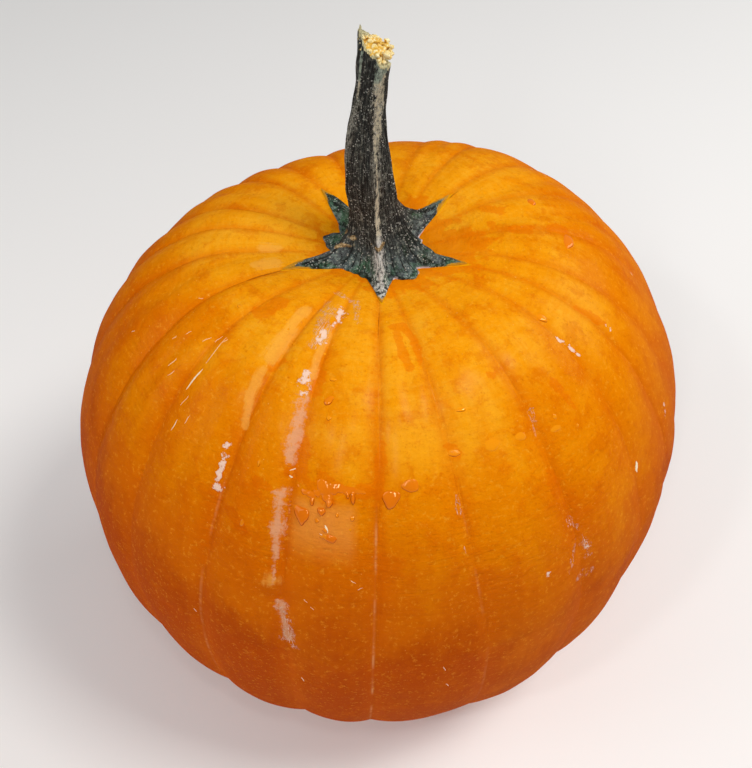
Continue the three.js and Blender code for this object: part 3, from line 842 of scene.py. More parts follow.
# Height of the slanting, splintered break
def break_height(degrees, radius_share):
    angle = np.radians(degrees + STALK_TWIST)
    slope = -BREAK_SLOPE * TIP_RADIUS * radius_share * np.sin(angle)
    rough = BREAK_ROUGHNESS * (np.sin(7 * angle + 1) + 0.6 * np.sin(13 * angle)) * radius_share
    splinter = SPLINTER[1] * splinter_shape(degrees)
    splinter = splinter * radius_share if radius_share >= RIM_MIDDLE_SHARE else 0
    return STALK_HEIGHT + slope + rough + splinter


STALK_SECTOR_COLUMNS = 56
STALK_CROWDING = 0.68
FLARE_ROWS = 56
SHAFT_ROWS = 120
PLEATS = 6
PLEAT_HEIGHT = 0.0006
LOBE_RIDGE_HEIGHT = 0.0008
FIBRE_HEIGHT = 0.00016
# Roughness between the fibres: wavelength and seed
FIBRE_WAVES = (0.003, 23)
FOOT_RIPPLE = 0.00035
# Reach past the valleys over which a lobe's edge loses the ripple
RIPPLE_END = (0.012, 0.018)
# Reach of the foot over which its tips turn yellow
YELLOW_TIPS = (0.022, 0.034)
# Bumps of the foot: height, wavelength, seed
BARK_WAVES = [(0.00030, 0.005, 21), (0.00016, 0.0018, 22)]
# Slimmer left side of the shaft: depth, height of its middle, spread
SLIMMER_LEFT = (0.0013, 0.068, 0.013)
FOOT_EDGE = 0.0006
# Rings across the broken end: share of the stalk's radius and depth below the break
END_RINGS = [(SOCKET_SHARE / 2, SOCKET_DEPTH), (SOCKET_SHARE, SOCKET_DEPTH), (RIND_SHARE - 0.04, 0.0006),
             (RIND_SHARE, 0.0002), (RIM_MIDDLE_SHARE, -0.0001)]
# Rings under the foot: share of its reach and depth below its edge
UNDER_RINGS = [(0.9975, 0.0005), (0.985, 0.0010), (0.7, 0.0012), (0.35, 0.0012)]

# Pale and speckled bands up the stalk: height in millimetres, azimuth, half width in millimetres
PALE_BANDS = [
    [(0.6, 3, 1.2), (3, 3, 2.2), (7, 3, 2), (11.5, 4, 1.7), (12.5, 5, 1.1), (22, 9, 1.1), (30, 15, 0.7),
     (38, 24, 0.5), (48, 29, 1), (56, 38, 2.2), (68, 45, 2.9), (76, 42, 2.9), (86, 38, 2.9)],
    [(70, -44, 0.4), (78, -45, 0.8), (88, -50, 1.3)],
]
SPECKLED_BANDS = [[(14, -80, 0.8), (28, -82, 1.6), (45, -72, 2.6), (56, -62, 2.8), (70, -48, 1.6)],
                  [(26, 16, 1.6), (36, 22, 2.4), (48, 28, 2.4), (56, 36, 1.8)],
                  [(3, 4, 4), (8, 4, 3), (12, 4, 1.6)]]
# Tan scars: height in millimetres, azimuth, half width and half height in millimetres
TAN_SCARS = [(12.8, 6, 2.2, 0.9), (12.2, -50, 2.6, 1.6), (13.6, -66, 2, 2), (9, -58, 3, 1.2)]


def stalk_columns():
    shares = crowded_shares(STALK_SECTOR_COLUMNS, STALK_CROWDING)
    return (LOBE_STARTS[:, None] + LOBE_GAPS[:, None] * shares[None, :]).ravel()


# Pleats of the foot: 0 in a groove, 1 on top
def pleat_shape(degrees, share):
    fold = 2 * np.pi * lobe_share(degrees) * PLEATS + 0.8 * np.sin(np.radians(degrees) * 3 + share * 4)
    return np.abs(np.sin(fold / 2)) ** 0.6


# Foot's upper face, from its edge at 0 to the neck at 1
def flare_points(degrees, share):
    angle = np.radians(degrees)
    neck = shaft_radius(degrees, np.full_like(degrees, NECK_HEIGHT))
    reach = foot_radius(degrees)
    power = FLARE_POWER + 0 * degrees
    for centre, spread, extra in FLARE_SHARPER:
        power += extra * bell(degrees_between(degrees, centre), spread)
    radius = neck + (reach - neck) * (1 - share) ** power
    skin = skin_points(angle, crown_polar(angle, radius))[:, 2] - CROWN_HEIGHT
    height = FOOT_EDGE + (NECK_HEIGHT - FOOT_EDGE) * share ** FLARE_RISE_POWER
    swell = np.sin(np.pi * np.clip(share * 1.25, 0, 1)) ** 0.7
    phase = lobe_share(degrees)
    nearest = np.minimum(phase, 1 - phase)
    longer = smoothstep(reach, FOOT_VALLEY_RADIUS, FOOT_VALLEY_RADIUS + 0.01)
    keel = LOBE_RIDGE_HEIGHT * bell(nearest, 0.05) * swell * (0.4 + 0.6 * longer)
    pleats = PLEAT_HEIGHT * (pleat_shape(degrees, share) * 2 - 1.2) * swell
    point = beside_middle_line(degrees, radius, height + skin * (1 - share))
    bumps = sum(bump * waves_in_space(point, length, seed) for bump, length, seed in BARK_WAVES)
    point[:, 2] += keel + pleats + bumps * swell
    return point


# Shaft of the stalk from the neck at 0 to the broken rim at 1
def shaft_points(degrees, share):
    height = NECK_HEIGHT + (break_height(degrees, 1) - NECK_HEIGHT) * share
    phase = lobe_share(degrees)
    radius = shaft_radius(degrees, height)
    fibres = np.cos(2 * np.pi * phase * 5 + 3 * share) + 0.8 * np.cos(2 * np.pi * phase * 9 - 4 * share)
    rough = waves_in_space(beside_middle_line(degrees, radius, height) * (1, 1, 0.25), *FIBRE_WAVES)
    radius = radius + FIBRE_HEIGHT * (fibres + 1.2 * rough)
    depth, level, spread = SLIMMER_LEFT
    leftward = np.clip(-np.sin(np.radians(degrees + STALK_TWIST)), 0, 1)
    radius = radius - depth * leftward * bell(height - level, spread)
    return beside_middle_line(degrees, radius, height)


# Stalk's bark: near-black with long pale fibres and white flecks, greener on the foot, yellow at the tips,
# with painted shade in the grooves between the foot's pleats
def bark_material():
    s = Shader("stem_bark")
    upper = s.attribute("upper")
    fibre = s.attribute("fibre", vector=True)
    fibres = s.noise(16, 5, 0.7, fibre)
    fine = s.noise(48, 5, 0.75, fibre)
    patches = s.noise(150, 5, 0.65)
    grit = s.noise(620, 5, 0.75)
    mixed = s.total(fine, s.swing(grit, 0.9))
    speckle = s.times(s.between(s.attribute("speckle"), -0.2, 0.5), s.between(mixed, 0.47, 0.53))
    speckle = s.times(speckle, 0.85)
    groove = s.total(s.attribute("groove"), s.swing(patches, 0.8))
    along = s.total(s.attribute("along"), s.swing(patches, 0.7))
    band = s.total(s.attribute("band"), s.total(s.swing(fine, 3.2), s.swing(grit, 2.6)))
    rim = s.total(s.attribute("rim"), s.swing(patches, 1.2))
    tan = s.total(s.attribute("tan"), s.swing(patches, 4))
    cut = s.total(s.attribute("cut"), s.swing(grit, 0.5))
    flecks = s.between(s.total(s.cells(1000), s.swing(grit, 0.4)), 0.14, 0.34, 1, 0)
    flecks = s.times(flecks, s.between(s.noise(220, 4, 0.6), 0.44, 0.54))

    bark = s.layers(
        s.blend(fibres, 0.45, 0.58, (10, 12, 14), (46, 51, 50)),
        (s.between(fine, 0.53, 0.58, 0, 0.65), (104, 110, 102)),
        (s.between(fine, 0.48, 0.4, 0, 0.85), (8, 9, 11)),
        (s.between(mixed, 0.57, 0.64, 0, 0.9), (180, 182, 168)),
        (speckle, (196, 194, 178)))
    foot = s.layers(
        s.blend(patches, 0.44, 0.56, (28, 44, 26), (92, 140, 108)),
        (s.between(s.noise(70, 4, 0.6), 0.47, 0.56, 0, 0.8), (112, 122, 126)),
        (s.between(grit, 0.52, 0.6, 0, 0.75), (168, 188, 178)),
        (s.between(grit, 0.48, 0.38, 0, 0.85), (8, 13, 11)),
        (s.between(fine, 0.49, 0.4, 0, 0.6), (10, 15, 13)),
        # Painted shade in the pleats' grooves
        (s.between(groove, 0.4, 0.75, 0, 0.9), (8, 12, 11)),
        (speckle, (206, 214, 208)))
    near_top = s.total(upper, s.swing(patches, 0.2))
    pale = s.layers(
        s.blend(near_top, 0.86, 0.9, (248, 240, 212), (196, 212, 192)),
        (s.between(upper, 0.22, 0.16), (250, 250, 244)),
        (s.between(mixed, 0.4, 0.49, 0.9, 0), (58, 60, 50)),
        (s.times(s.between(upper, 0.12, 0.04), s.between(grit, 0.5, 0.44, 0, 0.95)), (20, 34, 26)))
    base = s.layers(
        s.mix(s.between(along, 0.28, 0.74), foot, bark),
        (s.between(band, 0.05, 0.35, 0, 0.94), pale),
        (flecks, (232, 232, 222)),
        (s.between(rim, 0.5, 0.7, 0, 0.95), (246, 172, 6)),
        (s.between(tan, 0.1, 0.4), s.blend(grit, 0.44, 0.56, (150, 116, 66), (240, 218, 168))),
        (s.between(cut, 0.4, 0.7), (255, 244, 190)))
    rough = s.between(patches, 0.3, 0.7, 0.42, 0.75)
    relief = s.relief((fine, 0.0022, 0.9), (grit, 0.0012, 0.9))
    return s.finish(Base_Color=base, Roughness=rough, Specular_IOR_Level=0.35, Normal=relief)


# Fields of bands given by height, azimuth and half width: 1 on the band's line, 0 at its edge
def band_fields(points):
    height = points[:, 2] - CROWN_HEIGHT
    x, y = points[:, 0] - bow_at(np.clip(height, 0, BOW_SPAN)), points[:, 1] - STALK_SHIFT_Y
    azimuth, radius = np.arctan2(x, -y), np.hypot(x, y)
    level = height / MM
    fields = []
    for bands in (PALE_BANDS, SPECKLED_BANDS):
        field = np.full(len(points), -1.0)
        for band in bands:
            table = np.array(sorted(band), float)
            centre = np.radians(np.interp(level, table[:, 0], table[:, 1]))
            half = np.interp(level, table[:, 0], table[:, 2]) * MM
            away = np.abs(turn_between(azimuth, centre)) * radius
            past = np.maximum(table[0, 0] - level, level - table[-1, 0]).clip(0)
            field = np.maximum(field, 1 - away / half - past)
        fields.append(field)
    tan = np.full(len(points), -1.0)
    for level, degrees, half_width, half_height in TAN_SCARS:
        away = np.abs(turn_between(azimuth, math.radians(degrees))) * radius
        rise = (height - level * MM) / (half_height * MM)
        tan = np.maximum(tan, 1 - np.hypot(away / (half_width * MM), rise))
    return fields[0], fields[1], tan


def make_stalk():
    degrees = stalk_columns()
    columns = len(degrees)
    angle = np.radians(degrees)
    reach = foot_radius(degrees)
    edge = flare_points(degrees, np.zeros(columns))
    rows = []
    for share, drop in END_RINGS:
        height = break_height(degrees, share) - drop
        rows.append(beside_middle_line(degrees, shaft_radius(degrees, height) * share, height))
    shaft_shares = np.linspace(1, 0, SHAFT_ROWS + 1)
    rows += [shaft_points(degrees, np.full(columns, share)) for share in shaft_shares]
    flare_shares = np.linspace(1, 0, FLARE_ROWS + 1)[1:]
    rows += [flare_points(degrees, np.full(columns, share)) for share in flare_shares]
    for inset, drop in UNDER_RINGS:
        radius = reach * inset
        ring = edge * (inset, inset, 1)
        ring[:, 2] = skin_points(angle, crown_polar(angle, radius))[:, 2] + FOOT_EDGE - drop
        rows.append(ring)
    top = beside_middle_line(np.zeros(1), np.zeros(1), np.full(1, STALK_HEIGHT - SOCKET_DEPTH))
    root = np.array([[0, 0, CROWN_HEIGHT - FOOT_EDGE]])
    vertices = np.concatenate([top, *rows, root])
    stalk = mesh_object("stem_bark", vertices, ring_faces(len(rows), columns), bark_material(), "bark")

    tiled = np.tile(degrees, len(rows))
    end_rows, under_rows = len(END_RINGS), np.zeros(len(UNDER_RINGS))
    along_rows = np.concatenate([np.full(end_rows, 2.0), 1 + shaft_shares, flare_shares, under_rows])
    along = np.repeat(along_rows, columns)
    rim = np.exp(-along / 0.10) * smoothstep(np.tile(reach, len(rows)), *YELLOW_TIPS)
    cut_rows = np.zeros(len(rows))
    cut_rows[:end_rows] = 1
    cut_rows[end_rows:end_rows + 3] = 1, 0.8, 0.3
    near_top = smoothstep(shaft_shares, 0.90, 0.97)
    spike_rows = np.concatenate([np.ones(end_rows), near_top, np.zeros(FLARE_ROWS), under_rows])
    spike = splinter_shape(tiled) * np.repeat(spike_rows, columns)
    fibre = np.stack([np.cos(np.radians(tiled)), np.sin(np.radians(tiled)), along * 0.16], -1)
    band, speckle, tan = band_fields(vertices)
    # Painted shade in the grooves between the pleats, on the foot only
    groove = (1 - pleat_shape(tiled, along)) * window(along, 0.02, 0.2, 0.75, 1.1)

    def ends(values, first, last):
        return np.concatenate([[first], values, [last]])

    cut = np.maximum(np.repeat(cut_rows, columns), spike)
    point_attributes(
        stalk, along=ends(np.minimum(along, 1), 1, 0), rim=ends(rim, 0, 0), cut=ends(cut, 1, 0),
        upper=(vertices[:, 2] - CROWN_HEIGHT) / STALK_HEIGHT, fibre=ends(fibre, (0, 0, 0), (0, 0, 0)),
        band=band, tan=tan, speckle=speckle, groove=ends(groove, 0, 0))
    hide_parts("stem")


# Pith: a torn plug of pale crumbly lumps around amber hollows, with painted shade in the hollows and in
# the crevices between the lumps
PITH_CRUMBS = 84
CRUMB_SIZES = (0.0005, 0.00125)
CRUMB_LEVELS = (-0.0010, 0.0008)
CRUMB_STRETCH = (0.75, 1.3)
CREVICE_WIDTH = 0.42
# Roughness of the crumbs: height, wavelength, seed
CRUMB_WAVES = [(0.00022, 0.0012, 31), (0.00010, 0.0005, 32)]
LUMP_VOXEL = 0.0002
PLUG_RADIUS = 0.0047
PLUG_DEPTH = 0.0016
PLUG_OVERHANG = 0.0017
PLUG_TOP = 0.0882
PLUG_SLOPE = 0.22
PLUG_ROUNDING = 0.0012
# Depth of the crumbs' centres under the plug's top, and of the lowest ones under the rim
CRUMB_DEPTH = 0.0006
RIM_CRUMB_DEPTH = 0.0008
# Crumbs that would stand in a hollow are lowered
HOLLOW_GAP = 0.0001
HOLLOW_SINK = 0.0018
# Solid middle of the plug: share of its radius and depth of its centre
CORE_SHARE = 0.86
CORE_DEPTH = 0.0008
# Amber hollows, with painted shade: place beside the stalk's middle line, height and radius in millimetres
PITH_HOLLOWS = [(0.4, -0.9, 88.2, 1.3), (2, -0.6, 88.2, 1.2), (3.2, 0.8, 88, 1.1), (5, -1.8, 86.8, 1.1),
                (1.2, -3.9, 85.2, 1), (-2.4, 0.6, 89, 0.9)]


# Cream crumbs, amber and darker brown in the crevices and hollows: painted shade
def pith_material():
    s = Shader("stem_fibre")
    amber = s.total(s.attribute("hollow"), s.swing(s.noise(420, 4, 0.6), 0.9))
    base = s.layers(
        s.blend(s.noise(700, 5, 0.7), 0.36, 0.62, (226, 196, 116), (250, 238, 190)),
        (s.between(amber, 0.3, 0.7, 0, 0.9), (226, 176, 58)),
        (s.between(amber, 0.75, 1.05, 0, 0.9), (160, 104, 24)))
    relief = s.relief((s.noise(2600, 4, 0.7), 0.0002, 0.8))
    return s.finish(Base_Color=base, Roughness=0.8, Specular_IOR_Level=0.25, Normal=relief)


def mesh_vectors(mesh, normals=False):
    vectors = np.zeros(len(mesh.vertices) * 3)
    if normals:
        mesh.vertex_normals.foreach_get("vector", vectors)
    else:
        mesh.vertices.foreach_get("co", vectors)
    return vectors.reshape(-1, 3)


# Turns overlapping lumps into one closed mesh and returns its points
def joined_lumps(piece):
    remesh = piece.modifiers.new("join", "REMESH")
    remesh.mode = "VOXEL"
    remesh.voxel_size = LUMP_VOXEL
    remesh.use_smooth_shade = True
    graph = bpy.context.evaluated_depsgraph_get()
    joined = bpy.data.meshes.new_from_object(piece.evaluated_get(graph))
    material = piece.data.materials[0]
    piece.modifiers.clear()
    piece.data = joined
    joined.materials.clear()
    joined.materials.append(material)
    return mesh_vectors(joined)


def make_pith():
    rng = np.random.default_rng(4)
    hollows = np.array(PITH_HOLLOWS) * MM
    hollows[:, 0] += bow_at(STALK_HEIGHT)
    hollows[:, 1] += STALK_SHIFT_Y
    hollows[:, 2] += CROWN_HEIGHT
    centres, sizes = [], []
    for index in range(PITH_CRUMBS):
        share = math.sqrt((index + 0.5) / PITH_CRUMBS)
        turn = index * math.pi * (3 - math.sqrt(5))
        rightward = math.sin(turn)
        rim = STALK_HEIGHT - BREAK_SLOPE * PLUG_RADIUS * share * rightward
        top = PLUG_TOP - PLUG_SLOPE * PLUG_RADIUS * share * rightward - PLUG_ROUNDING * share ** 3
        top = max(top - CRUMB_DEPTH, rim - PLUG_DEPTH)
        size = rng.uniform(*CRUMB_SIZES)
        level = top + rng.uniform(*CRUMB_LEVELS)
        if share > 0.72 and rightward > 0.1 and index % 2:
            level = rng.uniform(rim - RIM_CRUMB_DEPTH, top)
        reach = share * (PLUG_RADIUS + PLUG_OVERHANG * max(rightward, 0) ** 1.5 * (level > rim))
        x = reach * math.sin(turn) + bow_at(level)
        place = np.array([x, STALK_SHIFT_Y - reach * math.cos(turn), CROWN_HEIGHT + level])
        gap = np.linalg.norm(hollows[:, :3] - place, axis=1) - hollows[:, 3]
        if gap.min() < HOLLOW_GAP:
            place[2] -= HOLLOW_SINK
        centres.append(place)
        sizes.append(size)
    centres, sizes = np.array(centres), np.array(sizes)
    ball = bmesh.new()
    bmesh.ops.create_icosphere(ball, subdivisions=2, radius=1)
    shape = np.array([v.co[:] for v in ball.verts])
    triangles = [tuple(v.index for v in f.verts) for f in ball.faces]
    ball.free()
    parts = []
    for centre, size in zip(centres, sizes):
        parts.append((centre + shape * size * rng.uniform(*CRUMB_STRETCH, 3), triangles))
    middle = np.array([bow_at(STALK_HEIGHT), STALK_SHIFT_Y, CROWN_HEIGHT + STALK_HEIGHT - CORE_DEPTH])
    filled = shape * (PLUG_RADIUS * CORE_SHARE, PLUG_RADIUS * CORE_SHARE, PLUG_DEPTH)
    filled[:, 2] -= BREAK_SLOPE * 0.75 * filled[:, 0]
    parts.append((middle + filled, triangles))
    pith = mesh_object("stem_fibre", *joined_parts(parts), pith_material(), "pith")
    points = joined_lumps(pith)
    rough = sum(height * waves_in_space(points, length, seed) for height, length, seed in CRUMB_WAVES)
    points += mesh_vectors(pith.data, normals=True) * rough[:, None]
    pith.data.vertices.foreach_set("co", points.ravel())
    gaps = np.linalg.norm(points[:, None] - centres[None], axis=2) / sizes[None]
    gaps.sort(axis=1)
    # Painted shade in the crevices between crumbs
    crevice = bell(gaps[:, 1] - gaps[:, 0], CREVICE_WIDTH) * 0.72
    inside = np.linalg.norm(points[:, None] - hollows[None, :, :3], axis=2) / hollows[None, :, 3]
    point_attributes(pith, hollow=crevice + np.exp(-((inside.min(axis=1) / 1.1) ** 4)) * 0.8)
    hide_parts("stem_pith")


# Water drops: azimuth, polar angle, half width, half length and height in millimetres, lean, droop
DROPS = [
    (2.5, 50.2, 2.8, 3.9, 0.9, -0.2, 0.5), (6.4, 47.9, 3, 2.6, 0.7, 0.3, 0.3),
    (-14.3, 54.6, 2.9, 3.6, 1.1, 0.3, 0.9), (-10.5, 53, 1.5, 1.6, 1, 0, 0.2),
    (-11.2, 54.8, 0.8, 1, 0.6, 0, 0.2), (-7.5, 53.3, 0.6, 1, 0.6, 0, 0.4),
    (-4.7, 53.7, 0.8, 1.1, 0.6, 0.3, 0.2), (-5, 55.7, 0.5, 0.7, 0.4, 0, 0.2),
    (-9.5, 56.2, 0.9, 1, 0.6, 0.4, -0.4), (-10, 57.5, 1, 0.6, 0.5, -0.4, 0.2),
    (-8.6, 57.6, 2.5, 1.7, 0.8, 0.4, 0.2), (25, 44, 3.4, 2.6, 0.42, 0, 0.2),
    (32, 44.8, 2.6, 2, 0.38, 0.5, 0.2), (40.6, 47, 2.4, 1.5, 0.38, 0.3, 0.2),
    (94, 31, 4, 2.6, 0.8, 0.3, 0.1), (112.5, 26.2, 2, 1.7, 0.8, 0, 0.1),
    (57.8, 30.2, 1.4, 2.6, 0.6, 0.4, 0.2), (20.4, 36.6, 1.9, 0.9, 0.5, 0.3, 0),
    (16.4, 43.6, 2.2, 1.5, 0.6, 0.6, 0.2), (-12.4, 34, 1.5, 2, 0.7, -0.6, 0.2),
    (-11.6, 37, 0.9, 1, 0.5, 0.2, 0.2), (-12.6, 30, 1.2, 0.9, 0.5, 0.2, 0.2),
    (-24.5, 47.6, 0.6, 1.6, 0.5, 0, 0.3), (-25, 59, 0.8, 1.6, 0.5, 0, 0.3),
]
# Overlapping drops that make up the film: the same, without lean and droop
FILM_BLOBS = [
    (-18.4, 46.4, 1, 1, 0.35), (-17.6, 47.6, 1, 1.6, 0.35), (-15.8, 49.6, 1, 0.8, 0.35),
    (-14.3, 50.3, 1.7, 1.2, 0.44), (-13, 50.5, 1.6, 1.4, 0.5), (-12.5, 51.6, 0.8, 2, 0.9),
    (-11.7, 50, 1.5, 1.5, 0.44), (-10.9, 48.4, 2, 2.6, 0.5), (-10.2, 49, 2.4, 2.8, 0.55),
    (-9.6, 50.4, 1.9, 2, 0.61), (-9.2, 51.3, 1.2, 2, 1.3), (-8.6, 48.7, 2.4, 2.2, 0.55),
    (-7.4, 48.5, 2.2, 1.9, 0.5), (-6.2, 48.7, 2.2, 1.8, 0.44), (-5.7, 49.4, 0.7, 1.9, 0.8),
    (-5, 48.7, 2, 1.6, 0.44), (-4.7, 50, 0.8, 2.6, 1), (-3.8, 48.8, 1.6, 1.2, 0.35),
    (-2.8, 49, 1.2, 0.8, 0.35),
]
DROP_RINGS = 12
DROP_COLUMNS = 36
DROP_SUNK = 0.00025
FILM_SEED = 100
# Little drops strewn over the seen side: number, azimuths and polar angles
LITTLE_DROPS = 46
LITTLE_DROP_AZIMUTHS = (-60, 170)
LITTLE_DROP_POLARS = (16, 62)


# Water over the rind, opaque: the deep orange seen through it painted in, with the rind's painted shading,
# and painted shade at its edge, heaviest on the lower side, where a real drop bends the light
def water_material():
    s = Shader("water")
    shade = s.total(s.attribute("tone"), s.swing(s.noise(90, 3), 0.5))
    flat = s.blend(shade, 0, 1, (242, 150, 4), (200, 92, 0))
    deep = s.blend(shade, 0, 1, (236, 126, 0), (192, 80, 0))
    base = s.layers(
        s.mix(s.between(s.attribute("depth"), 0.00045, 0.0008), flat, deep),
        # Painted shade at the water's edge
        (s.between(s.attribute("rim"), 0.1, 0.6, 0, 0.9), (160, 58, 0)))
    tint = (1, 0.85, 0.5, 1)
    return s.finish(Base_Color=base, Roughness=0.04, Specular_IOR_Level=0.42, Specular_Tint=tint)


# Fields for the water: rim, a painted shade, from how far it leans away from the skin, more on its lower
# side; painted shading and depth from its drops
def water_attributes(piece, places, deeper):
    table = np.array([place[:5] for place in places])
    azimuths, polars = np.radians(table[:, 0]), np.radians(table[:, 1])
    points, normals = mesh_vectors(piece.data), mesh_vectors(piece.data, normals=True)
    centres = skin_points(azimuths, polars)
    outward = outward_direction(azimuths, polars)
    downhill = smooth_fruit(azimuths, polars + 0.01) - smooth_fruit(azimuths, polars - 0.01)
    downhill /= np.linalg.norm(downhill, axis=1, keepdims=True)
    nearest = np.concatenate([
        np.linalg.norm(part[:, None] - centres[None], axis=2).argmin(axis=1)
        for part in np.array_split(points, max(1, len(points) // 4000))])
    lean = 1 - (normals * outward[nearest]).sum(axis=1)
    lower = 0.5 + 0.5 * np.clip((normals * downhill[nearest]).sum(axis=1) * 2, -1, 1)
    point_attributes(
        piece, rim=np.clip(lean * 1.6, 0, 1) * (0.15 + 0.85 * lower),
        tone=tone_at(azimuths, polars)[nearest], depth=table[nearest, 4] * MM * deeper)


# One drop lying on the skin, heavier towards its lower end, its edge sunk under the skin
def drop_surface(azimuth, polar, half_width, half_length, height, seed, lean=0, droop=0.2):
    azimuth, polar = math.radians(azimuth), math.radians(polar)
    half_width, half_length, height = half_width * MM, half_length * MM, height * MM
    rng = np.random.default_rng(seed)
    wobble = rng.uniform(0, 2 * np.pi, 2)
    radius = level_radius(polar)
    rings = np.arange(1, DROP_RINGS + 1) / DROP_RINGS
    angles = np.arange(DROP_COLUMNS) * 2 * np.pi / DROP_COLUMNS
    rim = 1 + 0.05 * np.sin(2 * angles + wobble[0]) + 0.07 * np.sin(3 * angles + wobble[1])
    rim += 0.04 * np.sin(5 * angles + wobble[0])
    across = np.outer(rings, np.sin(angles) * rim) * half_width
    below = np.outer(rings, np.cos(angles) * rim) * half_length
    across *= 1 - 0.5 * droop * below / half_length
    across += lean * half_width * 0.6 * (below / half_length)
    profile = np.sqrt(np.clip(1 - rings ** 2.6, 0, 1))[:, None]
    lift = height * profile * (1 + 0.3 * below / half_length) - DROP_SUNK
    azimuths = azimuth + across.ravel() / radius
    points = above_skin(azimuths, polar + below.ravel() / MEAN_RADIUS, lift.ravel()[:, None])
    middle = np.array([azimuth]), np.array([polar])
    poles = above_skin(*middle, height - DROP_SUNK), above_skin(*middle, -DROP_SUNK * 2)
    return np.concatenate([poles[0], points, poles[1]]), ring_faces(DROP_RINGS, DROP_COLUMNS)


def make_drops():
    rng = np.random.default_rng(8)
    places = list(DROPS)
    for _ in range(LITTLE_DROPS):
        azimuth = rng.uniform(*LITTLE_DROP_AZIMUTHS)
        polar = rng.uniform(*LITTLE_DROP_POLARS)
        size = 0.30 + 0.7 * rng.random() ** 3
        places.append((azimuth, polar, size, size * rng.uniform(0.9, 1.5), size * 0.45, 0, 0.2))
    parts = [drop_surface(*place[:5], index, *place[5:]) for index, place in enumerate(places)]
    drops = mesh_object("water_drops", *joined_parts(parts), water_material(), "skin")
    water_attributes(drops, places, 1)


# Film of water with hanging drips, joined from overlapping drops
def make_film():
    parts = [drop_surface(*blob, FILM_SEED + index) for index, blob in enumerate(FILM_BLOBS)]
    film = mesh_object("water_film", *joined_parts(parts), bpy.data.materials["water"], "skin")
    joined_lumps(film)
    water_attributes(film, FILM_BLOBS, 2)


# Thin water between the foot and the rind: from and to azimuth, width in millimetres
FOOT_WATER = [(46, 60, 0.9), (94, 122, 0.8), (18, 24, 0.6)]
FOOT_WATER_STEPS = 60
# Share of the width and millimetres above the skin, from the foot outwards
FOOT_WATER_SECTION = [(0, 0.2), (0, 0.7), (0.35, 0.4), (0.7, 0.2), (1, -0.1)]


# Pale lilac-grey: a painted reflection of the bright surroundings on the thin water
def foot_water_material():
    s = Shader("foot_water")
    base = s.mix(s.noise(300, 3), colour(178, 150, 140), colour(196, 184, 186))
    return s.finish(Base_Color=base, Roughness=0.12)


def make_foot_water():
    parts = []
    for start, end, width in FOOT_WATER:
        degrees = np.linspace(start, end, FOOT_WATER_STEPS)
        angle = np.radians(degrees)
        ends = np.sin(np.pi * np.linspace(0, 1, FOOT_WATER_STEPS)) ** 0.5
        inner = foot_radius(degrees) - FOOT_EDGE
        lines = []
        for share, lift in FOOT_WATER_SECTION:
            radius = inner + (FOOT_EDGE + width * MM * ends) * share
            lines.append(skin_points(angle, crown_polar(angle, radius)) + (0, 0, lift * MM))
        parts.append((np.concatenate(lines), strip_faces(len(lines), FOOT_WATER_STEPS)))
    mesh_object("foot_water", *joined_parts(parts), foot_water_material(), "skin")


# Thin pale scratches, and painted glints on the water in the first four: start and end as azimuth and
# polar angle, width in millimetres
SCRATCHES = [
    ((-9.6, 55.3), (-9, 56.6), 1.3), ((-10.4, 57), (-9.5, 57.4), 1.1), ((-18, 47.4), (-17, 46.8), 1),
    ((-17.8, 48.2), (-17.4, 48.6), 1.2), ((-48, 43.1), (-47, 38.1), 1),
    ((-47.2, 37), (-47.8, 30.9), 0.2), ((-55.7, 42.4), (-55, 40.2), 0.32),
    ((-54, 43.6), (-53.2, 42), 0.21), ((-46, 50.8), (-45.8, 48.4), 0.42),
    ((-43.6, 48), (-43.3, 46.2), 0.21), ((-47, 46), (-46.2, 43.6), 0.2),
    ((-50, 33), (-49.4, 31.2), 0.2), ((-52.5, 34.5), (-51.5, 32.8), 0.2),
    ((-47.5, 32), (-47, 31), 0.21), ((-4.6, 65.4), (-3.8, 66), 0.42), ((-3.4, 67.4), (-2.6, 67), 0.42),
    ((-12.4, 71), (-11.8, 71.6), 0.21), ((-11.2, 72.4), (-10.6, 73), 0.21), ((57.4, 66), (57, 68.6), 2),
    ((-13.2, 95.4), (-12.8, 96.4), 0.47), ((11, 91), (11.4, 92), 0.37),
    ((11.8, 96.2), (12.4, 97.2), 0.42), ((-33.2, 86.6), (-32.8, 87.8), 0.42),
    ((-58, 36), (-57.4, 34.8), 0.2), ((-60, 38.6), (-59.6, 37.6), 0.2),
    ((-72, 46), (-71.5, 45.2), 0.26), ((-66, 30.4), (-65.2, 29.6), 0.21),
]
SCRATCH_STEPS = 14
SCRATCH_BEND = 0.0001
# Share of the half width and millimetres above the skin, from side to side
SCRATCH_SECTION = [(-1, -0.06), (-0.5, 0.08), (0, 0.13), (0.5, 0.08), (1, -0.06)]


# Pale scratches; the same pale paint makes the painted glints on the drops and the film
def scratch_material():
    s = Shader("dry_scratches")
    base = s.mix(s.noise(900, 3), colour(236, 206, 150), colour(250, 240, 214))
    return s.finish(Base_Color=base, Roughness=0.5, Normal=s.relief((s.noise(1500, 3), 0.0001, 0.6)))


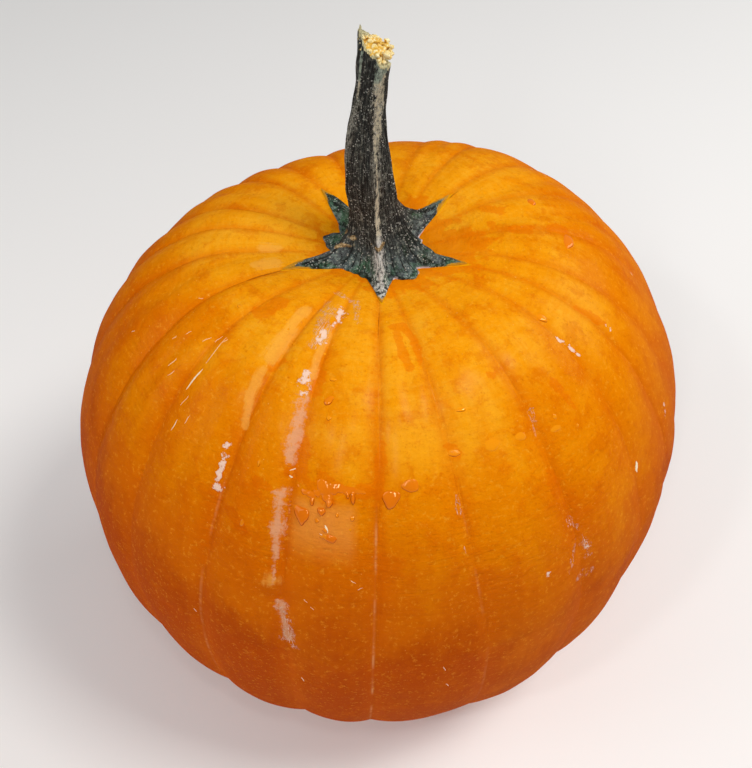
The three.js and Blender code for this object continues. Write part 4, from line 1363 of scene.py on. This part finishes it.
def make_scratches():
    rng = np.random.default_rng(15)
    parts = []
    for start, end, width in SCRATCHES:
        steps = np.linspace(0, 1, SCRATCH_STEPS)
        azimuth = np.radians(start[0] + (end[0] - start[0]) * steps)
        polar = np.radians(start[1] + (end[1] - start[1]) * steps)
        radius = level_radius(polar)
        wide = width * MM * 0.5 * np.sin(np.pi * np.clip(steps * 0.94 + 0.03, 0, 1)) ** 0.8
        wide *= rng.uniform(0.7, 1.2, SCRATCH_STEPS)
        bend = SCRATCH_BEND * np.sin(2 * np.pi * steps + rng.uniform(0, 6))
        lines = []
        for side, lift in SCRATCH_SECTION:
            lines.append(above_skin(azimuth + (bend + side * wide) / radius, polar, lift * MM))
        parts.append((np.concatenate(lines), strip_faces(len(lines), SCRATCH_STEPS)))
    mesh_object("dry_scratches", *joined_parts(parts), scratch_material(), "skin")


def make_floor():
    bpy.ops.mesh.primitive_plane_add(size=8, location=(0, 0, 0))
    floor = bpy.context.object
    floor.name = "floor"
    s = Shader("floor_paper")
    base = s.mix(s.noise(3, 2), (0.90, 0.90, 0.90, 1), (0.92, 0.92, 0.92, 1))
    floor.data.materials.append(s.finish(Base_Color=base, Roughness=0.9))


# Lights: name, place, width, height, power and tint
LIGHTS = [
    ("key", (0.55, -0.25, 1.30), 0.36, 0.36, 7.1, (1, 0.97, 0.92)),
    ("window", (-0.22, -0.89, 1.04), 0.10, 0.5, 3, (1, 0.98, 0.96)),
    ("left", (-1.15, -0.30, 0.75), 0.7, 0.7, 3, (1, 0.98, 0.96)),
    ("spark", (-0.55, -0.75, 1.25), 0.10, 0.10, 1.6, (1, 1, 1)),
    ("glint", (0.10, -0.62, 1.35), 0.10, 0.10, 1, (1, 1, 1)),
    ("rim", (0.95, 0.45, 0.75), 0.7, 0.7, 4.8, (1, 0.98, 0.96)),
]
LIGHT_TARGET = Vector((0, 0, 0.12))
WORLD_STRENGTH = 0.265


# A soft light aimed at the fruit's middle
def area_light(name, place, width, height, power, tint):
    data = bpy.data.lights.new(name, "AREA")
    data.shape = "RECTANGLE"
    data.size = width
    data.size_y = height
    data.energy = power
    data.color = tint
    light = bpy.data.objects.new(name, data)
    light.location = place
    light.rotation_euler = (LIGHT_TARGET - Vector(place)).to_track_quat("-Z", "Y").to_euler()
    bpy.context.scene.collection.objects.link(light)


def make_lights():
    world = bpy.data.worlds.new("studio")
    world.use_nodes = True
    background = world.node_tree.nodes["Background"]
    background.inputs["Color"].default_value = (1, 1, 1, 1)
    background.inputs["Strength"].default_value = WORLD_STRENGTH
    bpy.context.scene.world = world
    for light in LIGHTS:
        area_light(*light)


def make_camera():
    elevation = math.radians(CAMERA_ELEVATION)
    forward = Vector((0, math.cos(elevation), -math.sin(elevation)))
    upward = Vector((0, math.sin(elevation), math.cos(elevation)))
    centre = Vector((0, 0, FLAT_SPOT_DROP))
    data = bpy.data.cameras.new("camera")
    data.sensor_width = SENSOR
    data.lens = FOCAL_PIXELS * SENSOR / PHOTO_HEIGHT
    camera = bpy.data.objects.new("camera", data)
    aside = Vector((CAMERA_SIDE, 0, 0))
    camera.location = centre - forward * CAMERA_DISTANCE + upward * CAMERA_LIFT + aside
    camera.rotation_euler = forward.to_track_quat("-Z", "Y").to_euler()
    bpy.context.scene.collection.objects.link(camera)
    bpy.context.scene.camera = camera


make_camera()
make_skin()
make_stalk()
make_pith()
make_drops()
make_film()
make_scratches()
make_foot_water()
make_floor()
make_lights()
bpy.context.scene.view_settings.view_transform = "Standard"
